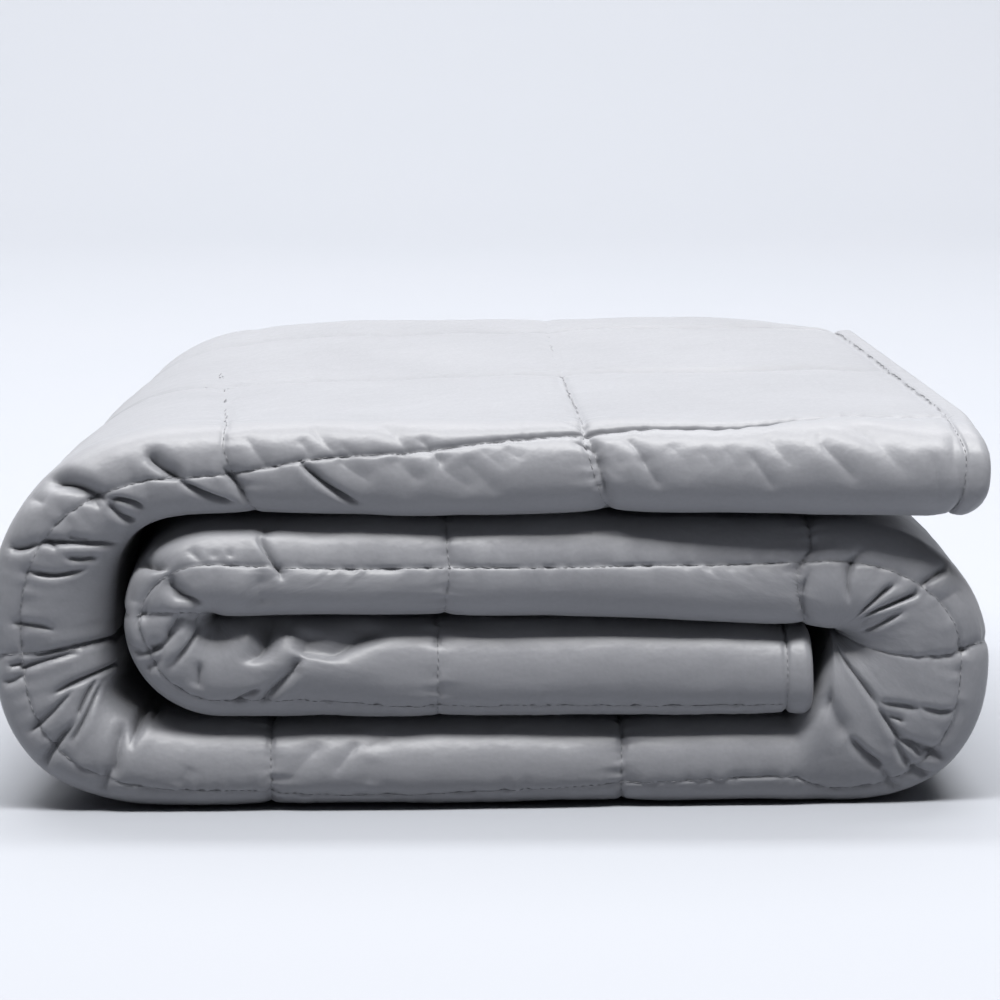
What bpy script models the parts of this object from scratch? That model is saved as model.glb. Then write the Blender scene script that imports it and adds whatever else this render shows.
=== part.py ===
"""A quilted weighted blanket, folded in thirds and then wound flat into four layers.

The blanket is one filled and quilted sheet, so it is one closed solid. Its long sides are folded
over each other like a letter, which makes a strip of three plies with a rounded fold along its
front. The strip is then wound from its inner hem: layer 3 runs left, turns up into layer 2, turns
down at the right into layer 4, which lies flat on the floor, and turns up at the left into layer 1
on top, which ends in the outer hem.

A place in the strip is (along, depth, out): millimetres along its middle line, back from its
front fold, and out from the middle line towards the outer side of the winding.
Axes: +X right, +Y to the back, +Z up. The origin is on the floor under the middle of the box.
"""

import math
from collections import namedtuple

import bmesh
import bpy
import numpy as np

MM = 0.001

# The blanket laid flat, in millimetres: 48 by 72 inches, quilted in squares and folded in thirds.
BLANKET_WIDTH = 1220.0
SQUARES_ACROSS = 7
SQUARE = BLANKET_WIDTH / SQUARES_ACROSS
PLIES = 3
FOLD_EASE = 3.0
FOLDED_DEPTH = BLANKET_WIDTH / PLIES + FOLD_EASE

# Cross section of the folded strip, in millimetres. A fullness is the power of the fold's curve.
PLY_GAP = 0.8
FRONT_FOLD_DEPTH = 17.0
FRONT_FOLD_LEAN = 5.0
FRONT_FOLD_POINTS = 9
BACK_FOLD_DEPTH = 13.0
BACK_FOLD_POINTS = 5
FOLD_FULLNESS = 2.6
FULLNESS_LEAN = 0.5
HEM_WIDTH = 10.0
HEM_SHARE = 0.8
HEM_CORNER = 8.0
HEM_CORNER_DEPTH = 70.0
INNER_EDGE_DEPTH = 24.0
OUTER_EDGE_SETBACK = 5.0
SLIT_TURN_ROOM = 2.0
SLIT_TIP = 5.0

# Quilting, in millimetres: the crown of each square and the sewn channels between them.
CROWN = 2.2
CHANNEL_DEPTH = 2.5
CHANNEL_WIDTH = 6.0
LOW_FACE_SHARE = 0.6
FACE_START = 8.0
CROWN_FOOT = 22.0

# The front fold takes its dents along a line that leans back by this share of the height.
DENT_LEAN = 0.8
ROUND_FOLD_SHARE = 1.1
SKIN = 3.0
LEAST_STEP_BACK = 0.01

# A pinched fold is drawn to its hub over this many stops before its first and past its last.
DRAWN_BEFORE = 0.75
DRAWN_AFTER = 0.85

# Spacing of the sections along the strip, in millimetres.
RUN_STEP = 29.0
FOLD_STEP = 9.0
LEAST_STEP = 4.5
FOLD_MARGIN = 4.0
FLOOR_FLAT = 3.2

# The middle line of the strip, one row for each stretch and fold, in millimetres and degrees.
# out_half and in_half are the thickness either side of it, grip_in and grip_out how far the line
# keeps its heading before and after the stop, sag how much lower the inner side hangs half way
# back, back_x and back_z how the back edge is shifted, and seam_at where the first lengthwise seam
# runs, round the front fold from its outer shoulder.
Stop = namedtuple(
    "Stop", "name x z heading grip_in grip_out out_half in_half sag back_x back_z seam_at"
)
WINDING = (
    Stop("inner hem", 144.0, 62.0, 181, 0, 45, 21.0, 21.5, 0, 0, 0, 12),
    Stop("layer 3", 0.0, 64.5, 180, 45, 40, 23.4, 23.0, 0, 0, 0, 12),
    Stop("inner fold in", -124.0, 65.4, 180, 40, 13, 24.2, 22.6, 0, 6, 0, 17),
    Stop("inner fold side", -148.5, 89.0, 90, 13, 13, 22.8, 20.0, 0, 8, 0, 26),
    Stop("inner fold out", -124.0, 112.8, 0, 13, 40, 21.7, 22.4, 0, 6, 0, 31),
    Stop("layer 2", 20.0, 113.0, 0, 45, 45, 21.9, 24.4, 0, 0, 0, 31),
    Stop("right fold in", 154.0, 112.0, 0, 45, 30, 21.5, 27.0, 6, -6, 0, 30),
    Stop("right fold side", 210.5, 68.0, -90, 28, 30, 21.2, 36.0, 0, -10, 0, 21),
    Stop("right fold out", 160.0, 20.4, 180, 34, 12, 20.4, 36.0, 0, -6, 0, 16),
    Stop("layer 4 right", 138.0, 20.4, 180, 6, 45, 20.4, 19.8, 0, 0, 0, 21),
    Stop("layer 4 left", -60.0, 20.4, 180, 50, 40, 20.4, 19.8, 0, 0, 0, 18),
    Stop("left fold in", -138.0, 20.4, 180, 30, 58, 20.4, 20.6, 0, 34, 0, 14),
    Stop("left fold side", -211.0, 87.0, 90, 48, 42, 21.8, 36.0, 0, 43, 0, 28),
    Stop("left fold out", -143.0, 157.5, 2, 42, 40, 21.5, 21.8, 0, 45, -3, 34),
    Stop("layer 1 left", -60.0, 158.5, 0, 30, 30, 21.5, 22.6, 0, 23, -3, 27),
    Stop("layer 1 right", 100.0, 159.5, 0, 60, 45, 21.5, 23.2, 0, 0, -2, 12),
    Stop("outer hem", 228.0, 156.0, -4, 45, 0, 21.5, 23.0, 0, -19, -6, -14),
)

# Each fold by its first and last stop.
FOLDS = (
    ("inner fold in", "inner fold out"),
    ("right fold in", "layer 4 right"),
    ("left fold in", "left fold out"),
)

# Where a fold is pinched, its inner side gathers round a hub: place and radius in millimetres.
Hub = namedtuple("Hub", "first last x z radius back_x")
HUBS = (
    Hub("inner fold in", "inner fold out", -126.0, 89.2, 1.2, 6),
    Hub("right fold in", "right fold out", 158.0, 80.0, 2.0, -6),
)

# Cross seams, by the stop that each follows and how far along the middle line it lies past it.
Seam = namedtuple("Seam", "after past")
CROSS_SEAMS = (
    Seam("layer 3", 25.0),
    Seam("inner fold side", 14.0),
    Seam("inner fold out", 103.0),
    Seam("layer 2", 122.0),
    Seam("right fold in", 72.5),
    Seam("layer 4 right", 78.0),
    Seam("layer 4 left", 42.0),
    Seam("left fold in", 101.5),
    Seam("left fold out", 20.0),
    Seam("layer 1 left", 102.0),
)

# Main creases of the folds, as soft troughs in the front fold: from and to, along past the stop
# and out from the middle line, with their depth and half width, all in millimetres.
Crease = namedtuple("Crease", "after past out past_end out_end depth width")
CREASES = (
    Crease("left fold side", 20, 16, 14, -30, 6, 9),
    Crease("left fold side", 62, 18, 44, -24, 7, 10),
    Crease("left fold side", 98, 12, 106, -18, 5, 10),
    Crease("left fold side", -34, 12, -26, -30, 5, 9),
    Crease("left fold in", 50, 12, 60, -24, 4, 9),
    Crease("left fold out", 66, 4, 92, -18, 3, 11),
    Crease("left fold out", 104, 8, 140, -16, 2.5, 11),
    Crease("right fold in", 44, 12, 34, -26, 4, 9),
    Crease("right fold side", 30, 12, 24, -30, 4, 9),
    Crease("right fold side", 66, 8, 58, -30, 5, 9),
    Crease("inner fold in", 20, 10, 28, -16, 3, 8),
    Crease("layer 3", 84, 6, 68, -20, 4, 10),
)

COTTON_GREY = (0.360, 0.366, 0.381, 1.0)
COTTON_ROUGHNESS = 0.62


def stop_number(name):
    return [stop.name for stop in WINDING].index(name)


def column(name):
    return np.array([getattr(stop, name) for stop in WINDING], float)


def stop_before(at):
    """The stop that starts the stretch in which a stop number lies."""
    return np.clip(np.asarray(at, float).astype(int), 0, len(WINDING) - 2)


def ease(share):
    """0 to 1 with a level start and end."""
    share = np.clip(share, 0.0, 1.0)
    return share * share * (3 - 2 * share)


def middle_line(at, back):
    """The middle line's x, z and unit heading at a stop number, back being 0 in front, 1 behind."""
    first = stop_before(at)
    share = at - first
    left = 1 - share
    heading = np.radians(column("heading"))
    reach_out, reach_in = column("grip_out")[first], column("grip_in")[first + 1]
    place, slope = [], []
    for axis, turn in (("x", np.cos), ("z", np.sin)):
        front, shift = column(axis), column("back_" + axis)
        start = front[first] + back * shift[first]
        end = front[first + 1] + back * shift[first + 1]
        leave = start + reach_out * turn(heading[first])
        arrive = end - reach_in * turn(heading[first + 1])
        place.append(
            left**3 * start
            + 3 * left * left * share * leave
            + 3 * left * share * share * arrive
            + share**3 * end
        )
        slope.append(
            left * left * (leave - start)
            + 2 * left * share * (arrive - leave)
            + share * share * (end - arrive)
        )
    length = np.hypot(*slope)
    return place[0], place[1], slope[0] / length, slope[1] / length


def eased(name, at):
    """A column of the winding, eased from stop to stop."""
    values = column(name)
    first = stop_before(at)
    share = ease(at - first)
    return values[first] * (1 - share) + values[first + 1] * share


def length_table(samples=4001):
    """Stop numbers and the lengths along the middle line that they lie at, at the front."""
    at = np.linspace(0, len(WINDING) - 1, samples)
    x, z, _, _ = middle_line(at, np.zeros(samples))
    along = np.concatenate([[0.0], np.cumsum(np.hypot(np.diff(x), np.diff(z)))])
    return at, along


AT_TABLE, ALONG_TABLE = length_table()
STRIP_LENGTH = ALONG_TABLE[-1]


def at_along(along):
    return np.interp(along, ALONG_TABLE, AT_TABLE)


def along_past(name, past):
    return float(np.interp(stop_number(name), AT_TABLE, ALONG_TABLE)) + past


SEAMS_ALONG = [along_past(seam.after, seam.past) for seam in CROSS_SEAMS]


def inner_side(at, back):
    """The strip's inner side: square to the middle line, or drawn to the hub of a pinched fold."""
    x, z, dx, dz = middle_line(at, back)
    half = eased("in_half", at) + eased("sag", at) * np.sin(np.pi * back)
    side_x, side_z = x + half * dz, z - half * dx
    for hub in HUBS:
        first, last = stop_number(hub.first), stop_number(hub.last)
        drawn = ease((at - first) / DRAWN_BEFORE + 1) * ease((last - at) / DRAWN_AFTER + 1)
        hub_x, hub_z = hub.x + hub.back_x * back, hub.z
        away = np.hypot(x - hub_x, z - hub_z)
        rim_x = hub_x + hub.radius * (x - hub_x) / away
        rim_z = hub_z + hub.radius * (z - hub_z) / away
        side_x = side_x + drawn * (rim_x - side_x)
        side_z = side_z + drawn * (rim_z - side_z)
    return side_x, side_z


def inner_reach(at):
    """How far the strip's inner side lies from the middle line, at the front."""
    x, z, _, _ = middle_line(at, np.zeros_like(at))
    side_x, side_z = inner_side(at, np.zeros_like(at))
    return np.hypot(side_x - x, side_z - z)


def place_in_winding(at, depth, out):
    """The point in metres at a stop number, a depth and a distance out from the middle line."""
    at, depth, out = np.broadcast_arrays(at, depth, out)
    back = np.clip(depth / FOLDED_DEPTH, 0, 1)
    x, z, dx, dz = middle_line(at, back)
    side_x, side_z = inner_side(at, back)
    inward = np.clip(-out / inner_reach(at), 0, 1)
    outward = np.maximum(out, 0)
    point_x = x - outward * dz + inward * (side_x - x)
    point_z = z + outward * dx + inward * (side_z - z)
    return np.stack([point_x, depth - FOLDED_DEPTH / 2, point_z], -1) * MM


def hem_taper(at):
    """How thick a ply is at this stop: full, and thinner at the strip's two hemmed ends."""
    along = np.interp(at, AT_TABLE, ALONG_TABLE)
    to_end = min(along, STRIP_LENGTH - along)
    return HEM_SHARE + (1 - HEM_SHARE) * float(ease(to_end / (2 * HEM_WIDTH)))


def hem_slant(at, depth, out):
    """The stop number for each point of a section: at the outer hem the front's corners end sooner."""
    along = float(np.interp(at, AT_TABLE, ALONG_TABLE))
    near_hem = ease(1 - (STRIP_LENGTH - along) / (4 * HEM_CORNER))
    reach = np.where(out > 0, eased("out_half", at), eased("in_half", at))
    corner = np.clip(np.abs(out) / reach, 0, 1) ** 3 * ease(1 - depth / HEM_CORNER_DEPTH)
    return at_along(along - HEM_CORNER * near_hem * corner)


def nearest_gap(places, value):
    return min(abs(value - place) for place in places)


def square_share(places, value):
    """How high a crown stands between the seams: 0 on a seam and 1 half way to the next."""
    below = max([place for place in places if place <= value], default=value - SQUARE / 2)
    above = min([place for place in places if place > value], default=value + SQUARE / 2)
    return math.sin(math.pi * (value - below) / (above - below))


def quilting_drop(along, round_fold):
    """How far the cloth lies below the top of the crowns, round_fold from the outer shoulder."""
    seams_across = [
        float(eased("seam_at", at_along(along))) + SQUARE * count for count in (-2, -1, 0, 1, 2)
    ]
    channel = max(
        math.exp(-((nearest_gap(SEAMS_ALONG, along) / CHANNEL_WIDTH) ** 2)),
        math.exp(-((nearest_gap(seams_across, round_fold) / CHANNEL_WIDTH) ** 2)),
    )
    crown = square_share(SEAMS_ALONG, along) * square_share(seams_across, round_fold)
    return CHANNEL_DEPTH * channel + CROWN * (1 - math.sqrt(max(crown, 0.0)))


def crease_drop(along, out):
    """How far the main creases push the front fold in at this place."""
    drop = 0.0
    for crease in CREASES:
        start = np.array([along_past(crease.after, crease.past), crease.out])
        end = np.array([along_past(crease.after, crease.past_end), crease.out_end])
        run = end - start
        place = np.array([along, out]) - start
        share = np.clip(place @ run / (run @ run), 0, 1)
        away = np.hypot(*(place - share * run))
        drop = max(drop, crease.depth * math.exp(-((away / crease.width) ** 2)))
    return drop


def rounded_edge(sides, apex, steps):
    """Points strictly between two shoulders, round an edge whose outermost depth is apex.

    Each side is the out value and the depth of its shoulder, and how full its half of the edge is.
    """
    (start, _, _), (end, _, _) = sides
    middle, half = (start + end) / 2, (start - end) / 2
    points = []
    for turn in np.linspace(0, math.pi, steps + 2)[1:-1]:
        _, shoulder, fullness = sides[0] if turn < math.pi / 2 else sides[1]
        lean = math.copysign(abs(math.cos(turn)) ** (2 / fullness), math.cos(turn))
        bulge = math.sin(turn) ** (2 / fullness)
        points.append((shoulder + (apex - shoulder) * bulge, middle + half * lean))
    return points


def fold_girth(front_sides):
    """The length round the front fold from its upper shoulder to its lower one."""
    (start, start_depth, _), (end, end_depth, _) = front_sides
    turn = rounded_edge(front_sides, 0.0, FRONT_FOLD_POINTS)
    points = np.array([(start_depth, start), *turn, (end_depth, end)])
    return float(np.hypot(*np.diff(points, axis=0).T).sum())


def upper_face(top_shoulder, lengthwise, out):
    """The outer face from the back to the front, with points on each lengthwise seam and crown."""
    second = top_shoulder - lengthwise + SQUARE
    face_start = top_shoulder + max(FACE_START, -lengthwise)
    depths = []
    for seam in (second + SQUARE, second):
        depths += [seam + CHANNEL_WIDTH, seam, seam - CHANNEL_WIDTH, seam - SQUARE / 2]
    depths += [face_start + CROWN_FOOT, face_start]
    return [(depth, out) for depth in depths]


def lower_face(low_shoulder, round_fold, out):
    """The lowest ply's face from the front to the back; round_fold is where its first seam is."""
    seam = low_shoulder + SQUARE - round_fold
    return [(depth, out) for depth in (seam - 0.35 * SQUARE, seam, seam + 0.4 * SQUARE, seam + SQUARE)]


def hemmed_edge(edge, inward, middle, half, outer_first):
    """A ply's hemmed long side, thinner at its very edge; inward is the way into the ply."""
    sides = (1, -1) if outer_first else (-1, 1)
    foot = edge + inward * HEM_WIDTH
    first, last = (middle + side * half for side in sides)
    first_edge, last_edge = (middle + side * half * HEM_SHARE for side in sides)
    return [(foot, first), (edge, first_edge), (edge, last_edge), (foot, last)]


def section(at):
    """The strip's outline at one stop number, as (depth, out) points round the three plies."""
    outer, inner = float(eased("out_half", at)), float(inner_reach(at))
    ply = (outer + inner - (PLIES - 1) * PLY_GAP) / PLIES
    half = ply * hem_taper(at) / 2
    top, middle, low = (outer - ply / 2 - count * (ply + PLY_GAP) for count in range(PLIES))
    back = FOLDED_DEPTH
    back_shoulder = back - BACK_FOLD_DEPTH
    # A fold rests heavier on its lower side, which is tighter than the upper one.
    outward_up = float(middle_line(np.array(at), np.array(0.0))[2])
    top_shoulder = FRONT_FOLD_DEPTH + FRONT_FOLD_LEAN * outward_up
    low_shoulder = FRONT_FOLD_DEPTH - FRONT_FOLD_LEAN * outward_up
    front_sides = (
        (top + half, top_shoulder, FOLD_FULLNESS - FULLNESS_LEAN * outward_up),
        (low - half, low_shoulder, FOLD_FULLNESS + FULLNESS_LEAN * outward_up),
    )
    back_sides = (
        (middle - half, back_shoulder, FOLD_FULLNESS),
        (top + half, back_shoulder, FOLD_FULLNESS),
    )
    lengthwise = float(eased("seam_at", at))
    # The outer face of the top ply, then round the front fold to the lowest ply's face and hem.
    outline = [(back_shoulder, top + half)]
    outline += upper_face(top_shoulder, lengthwise, top + half)
    outline += [(top_shoulder, top + half)]
    outline += rounded_edge(front_sides, 0.0, FRONT_FOLD_POINTS)
    outline += [(low_shoulder, low - half)]
    outline += lower_face(low_shoulder, fold_girth(front_sides) - lengthwise, low - half)
    outline += hemmed_edge(back - OUTER_EDGE_SETBACK, -1, low, half, False)
    # Inside the front fold, round the middle ply's hem.
    inside = FRONT_FOLD_DEPTH + 2 * HEM_WIDTH
    turn_depth = min(ply + SLIT_TURN_ROOM, FRONT_FOLD_DEPTH)
    outline += [(back / 2, low + half), (inside, low + half), (turn_depth + SLIT_TIP, low + half)]
    outline += [(turn_depth, middle)]
    outline += [(turn_depth + SLIT_TIP, top - half), (inside, top - half), (back / 2, top - half)]
    # The slit between the top and middle plies ends inside the back fold.
    slit_end = back_shoulder - ply / 2
    outline += [(slit_end - SLIT_TIP, top - half), (slit_end, (top + middle) / 2)]
    outline += [(slit_end - SLIT_TIP, middle + half), (back / 2, middle + half)]
    outline += hemmed_edge(INNER_EDGE_DEPTH, 1, middle, half, True)
    outline += [(back / 2, middle - half), (back_shoulder, middle - half)]
    outline += rounded_edge(back_sides, back, BACK_FOLD_POINTS)
    return outline, front_sides


def drawn_in(at, outline, front_sides):
    """The outline with its outer faces drawn in by the quilting and the creases."""
    along = float(np.interp(at, AT_TABLE, ALONG_TABLE))
    (top_face, top_shoulder, _), (low_face, low_shoulder, _) = front_sides
    centre, half = (top_face + low_face) / 2, (top_face - low_face) / 2
    points = []
    for depth, out in outline:
        shoulder = top_shoulder if out > centre else low_shoulder
        # A point of the front fold is no deeper than the fold's own curve at that height.
        lean = min(abs(out - centre) / half, 1.0)
        curve = shoulder * (1 - (1 - lean**FOLD_FULLNESS) ** (1 / FOLD_FULLNESS))
        if depth < min(shoulder - LEAST_STEP_BACK, curve + SKIN):
            way = np.array([depth - shoulder, (out - centre) * DENT_LEAN])
            way /= np.hypot(*way)
            round_fold = (top_face - out) * ROUND_FOLD_SHARE
            drop = quilting_drop(along, round_fold) + crease_drop(along, out)
            depth, out = depth - way[0] * drop, out - way[1] * drop
        elif abs(out - top_face) < LEAST_STEP_BACK:
            out -= quilting_drop(along, top_shoulder - depth)
        elif abs(out - low_face) < LEAST_STEP_BACK:
            out += LOW_FACE_SHARE * quilting_drop(along, depth + top_face - low_face)
        points.append((depth, out))
    return points


def stations():
    """Stop numbers of the sections: closer in the folds, at each seam and at each crease."""
    folds = [
        (along_past(first, -FOLD_MARGIN), along_past(last, FOLD_MARGIN))
        for first, last in FOLDS
    ]
    wanted = [0.0, HEM_WIDTH, 2 * HEM_WIDTH, STRIP_LENGTH]
    wanted += [place for fold in folds for place in fold]
    wanted += [STRIP_LENGTH - HEM_WIDTH, STRIP_LENGTH - 2 * HEM_WIDTH]
    wanted += [seam + side for seam in SEAMS_ALONG for side in (0, -CHANNEL_WIDTH, CHANNEL_WIDTH)]
    wanted += [along_past(crease.after, (crease.past + crease.past_end) / 2) for crease in CREASES]
    kept = []
    for place in wanted:
        if all(abs(place - other) >= LEAST_STEP for other in kept):
            kept.append(place)
    kept.sort()
    filled = []
    for start, end in zip(kept, kept[1:]):
        middle = (start + end) / 2
        step = FOLD_STEP if any(first < middle < last for first, last in folds) else RUN_STEP
        pieces = max(1, round((end - start) / step))
        filled += [start + (end - start) * count / pieces for count in range(pieces)]
    return [float(at_along(place)) for place in filled + [STRIP_LENGTH]]


def blanket_mesh():
    """The strip swept along its winding, as one closed mesh with a cap at each hemmed end."""
    mesh = bmesh.new()
    rings = []
    for at in stations():
        points = np.array(drawn_in(at, *section(at)))
        places = place_in_winding(hem_slant(at, points[:, 0], points[:, 1]), points[:, 0], points[:, 1])
        low = places[:, 2] < FLOOR_FLAT * MM
        places[low, 2] = 0.0
        rings.append([mesh.verts.new(place) for place in places])
    for ring, following in zip(rings, rings[1:]):
        for corner in range(len(ring)):
            after = (corner + 1) % len(ring)
            mesh.faces.new((ring[corner], ring[after], following[after], following[corner]))
    mesh.faces.new(rings[0][::-1])
    mesh.faces.new(rings[-1])
    if mesh.calc_volume(signed=True) < 0:
        bmesh.ops.reverse_faces(mesh, faces=mesh.faces[:])
    bmesh.ops.triangulate(mesh, faces=mesh.faces[:])
    return mesh


def cotton():
    """Smooth, tightly woven grey cotton."""
    material = bpy.data.materials.new("grey_cotton")
    material.use_nodes = True
    shader = material.node_tree.nodes["Principled BSDF"]
    shader.inputs["Base Color"].default_value = COTTON_GREY
    shader.inputs["Roughness"].default_value = COTTON_ROUGHNESS
    shader.inputs["Metallic"].default_value = 0.0
    return material


def build():
    for thing in list(bpy.data.objects):
        bpy.data.objects.remove(thing)
    group = bpy.data.collections.new("weighted_blanket")
    bpy.context.scene.collection.children.link(group)
    mesh = bpy.data.meshes.new("weighted_blanket")
    shape = blanket_mesh()
    shape.to_mesh(mesh)
    shape.free()
    mesh.materials.append(cotton())
    mesh.shade_smooth()
    blanket = bpy.data.objects.new("weighted_blanket", mesh)
    group.objects.link(blanket)
    return blanket


build()
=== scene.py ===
"""The looks of a quilted weighted blanket, folded in thirds and wound flat into four layers.

The cloth follows the winding of its solid, with front folds that stand up to 5 mm further forward.
It is built in the cloth's own measures: along the strip from the inner hem, and round its section
from the outer shoulder of the front fold. Quilting, puckers and the main creases raise or lower
the cloth at such a place, and the stitches follow it.
"""

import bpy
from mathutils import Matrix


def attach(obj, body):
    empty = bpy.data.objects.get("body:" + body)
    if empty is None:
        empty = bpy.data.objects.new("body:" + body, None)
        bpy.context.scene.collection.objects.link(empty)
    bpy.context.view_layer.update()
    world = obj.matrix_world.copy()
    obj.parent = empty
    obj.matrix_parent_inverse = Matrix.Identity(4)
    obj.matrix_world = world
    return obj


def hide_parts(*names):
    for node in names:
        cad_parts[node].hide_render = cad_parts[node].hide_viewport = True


bl_info = {
    "name": "Folded weighted blanket",
    "version": (1, 0, 0),
    "blender": (4, 5, 0),
    "location": "3D View > Sidebar > Blanket",
    "description": "Quilted blanket cloth, its stitching and a plain studio stage",
    "category": "Add Mesh",
}

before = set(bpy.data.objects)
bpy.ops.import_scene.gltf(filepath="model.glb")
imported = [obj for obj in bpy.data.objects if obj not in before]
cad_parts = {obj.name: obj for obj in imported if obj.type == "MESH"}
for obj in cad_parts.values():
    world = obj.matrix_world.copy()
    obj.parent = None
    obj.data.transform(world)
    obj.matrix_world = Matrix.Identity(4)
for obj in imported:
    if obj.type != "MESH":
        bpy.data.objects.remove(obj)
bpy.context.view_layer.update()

import math
from collections import namedtuple
from functools import lru_cache

import bpy
import numpy as np
from bpy.props import FloatProperty, FloatVectorProperty, PointerProperty
from bpy.types import Operator, Panel, PropertyGroup
from mathutils import Matrix, Vector

MM = 0.001

# The blanket laid flat, and the section of its folded strip, in millimetres.
BLANKET_WIDTH = 1220.0
SQUARES_ACROSS = 7
SQUARE = BLANKET_WIDTH / SQUARES_ACROSS
PLIES = 3
FOLD_EASE = 3.0
FOLDED_DEPTH = BLANKET_WIDTH / PLIES + FOLD_EASE
PLY_GAP = 0.8
FRONT_FOLD_DEPTH = 17.0
FRONT_FOLD_LEAN = 5.0
FRONT_FOLD_DROP = 4.0
BACK_FOLD_DEPTH = 13.0

# How full the round of the front fold is, 2 being an ellipse: on the level layers, and on the outer
# and the inner half where the strip turns upright. There the inner half also starts deeper.
FOLD_FULLNESS = 2.0
SIDE_FULLNESS = 3.8
SIDE_INNER_FULLNESS = 1.9
SIDE_INNER_DEPTH = 12.0

# The front corners of the outer hem end sooner, which fades out over these reaches.
HEM_CORNER = 8.0
HEM_CORNER_REACH = 4 * HEM_CORNER
HEM_CORNER_DEPTH = 70.0

# The long edges of the plies, set in from the front and from the back, and the slits between them.
INNER_EDGE_DEPTH = 24.0
OUTER_EDGE_SETBACK = 5.0
EDGE_ROUND = 2.0
EDGE_SHARE = 0.4
SLIT_WALL = 2.0
SLIT_POINT = 5.0
SLIT_SHOULDER = 20.0

# How many stops before and after a pinched fold its inner side starts to be drawn to the hub.
DRAWN_BEFORE = 0.75
DRAWN_AFTER = 0.85

# The middle line of the strip, one row for each stretch and fold, in millimetres and degrees; sewn
# is how deep its lengthwise seam is drawn, and forward how far its front fold stands out.
Stop = namedtuple(
    "Stop", "name x z heading grip_in grip_out out_half in_half sag back_x back_z seam_at sewn forward"
)
WINDING = (
    Stop("inner hem", 148.0, 62.0, 181, 0, 45, 21.0, 21.5, 0, 0, 0, 12, 0.4, 1),
    Stop("layer 3", 0.0, 64.5, 180, 45, 40, 23.4, 23.0, 0, 0, 0, 12, 0.4, 2),
    Stop("inner fold in", -124.0, 65.4, 180, 40, 13, 24.2, 22.6, 0, 6, 0, 17, 0.4, 3),
    Stop("inner fold side", -148.5, 89.0, 90, 13, 13, 22.8, 20.0, 0, 8, 0, 24, 0.9, 4),
    Stop("inner fold out", -124.0, 112.8, 0, 13, 40, 21.7, 22.4, 0, 6, 0, 33, 0.8, 5),
    Stop("layer 2", 20.0, 113.0, 0, 45, 45, 21.9, 24.4, 0, 0, 0, 34, 0.7, 2),
    Stop("right fold in", 154.0, 112.0, 0, 45, 30, 21.5, 27.0, 6, -6, 0, 28, 0.8, -1),
    Stop("right fold side", 211.0, 68.0, -90, 28, 33, 21.2, 36.0, 0, -10, 0, 26, 0.7, 0),
    Stop("right fold out", 160.0, 20.4, 180, 38, 12, 20.4, 36.0, 0, -6, 0, 10, 0.7, 0),
    Stop("layer 4 right", 138.0, 20.4, 180, 6, 45, 20.4, 19.8, 0, 0, 0, 20, 0.4, 0),
    Stop("layer 4 left", -60.0, 20.4, 180, 50, 40, 20.4, 19.8, 0, 0, 0, 14, 0.4, 4),
    Stop("left fold in", -138.0, 20.4, 180, 30, 58, 20.4, 20.6, 0, 34, 0, 18, 0.4, 3),
    Stop("left fold side", -211.0, 87.0, 90, 48, 42, 21.8, 36.0, 0, 43, 0, 28, 0.8, 0),
    Stop("left fold out", -143.0, 157.5, 2, 42, 40, 21.5, 21.8, 0, 45, -3, 35, 1.0, 0),
    Stop("layer 1 left", -60.0, 158.5, 0, 30, 30, 21.5, 22.6, 0, 23, -3, 25, 1.1, 0),
    Stop("layer 1 right", 100.0, 159.5, 0, 60, 45, 21.5, 23.2, 0, 0, -2, 10, 2.2, 4),
    Stop("outer hem", 228.0, 156.0, -4, 45, 0, 21.5, 23.0, 0, -19, -6, -24, 2.6, 5),
)
FOLDS = (
    ("inner fold in", "inner fold out"),
    ("right fold in", "layer 4 right"),
    ("left fold in", "left fold out"),
)
Hub = namedtuple("Hub", "first last x z radius back_x")
HUBS = (
    Hub("inner fold in", "inner fold out", -126.0, 89.2, 1.2, 6),
    Hub("right fold in", "right fold out", 158.0, 80.0, 2.0, -6),
)

# Cross seams: the stop that each follows and how far past it they cross the front fold, how far
# they lean along the strip in LEAN_RUN down the front fold and in TOP_LEAN_RUN over the top, and
# how deep they are drawn at the front and on the top, in millimetres.
LEAN_START, LEAN_REACH, LEAN_RUN = 20, 60, 50
TOP_LEAN_REACH, TOP_LEAN_RUN = 200, 100
Seam = namedtuple("Seam", "after past lean top_lean depth top_depth")
CROSS_SEAMS = (
    Seam("layer 3", 25.0, 0, 0, 0.8, 1.5),
    Seam("inner fold side", 1.5, 8, 0, 2.4, 1.5),
    Seam("inner fold out", 103.0, 5, 0, 1.6, 1.5),
    Seam("layer 2", 127.0, -28, 0, 2.8, 1.5),
    Seam("right fold in", 74.5, 14, 0, 2.6, 1.6),
    Seam("layer 4 right", 78.0, 0, 0, 2.8, 1.5),
    Seam("layer 4 left", 42.0, 0, 0, 2.6, 1.5),
    Seam("left fold in", 104.0, 0, 0, 2.4, 1.5),
    Seam("left fold out", 20.0, 18, -14, 1.6, 2.2),
    Seam("layer 1 left", 102.0, 12, -3, 3.4, 2.6),
)

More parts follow.
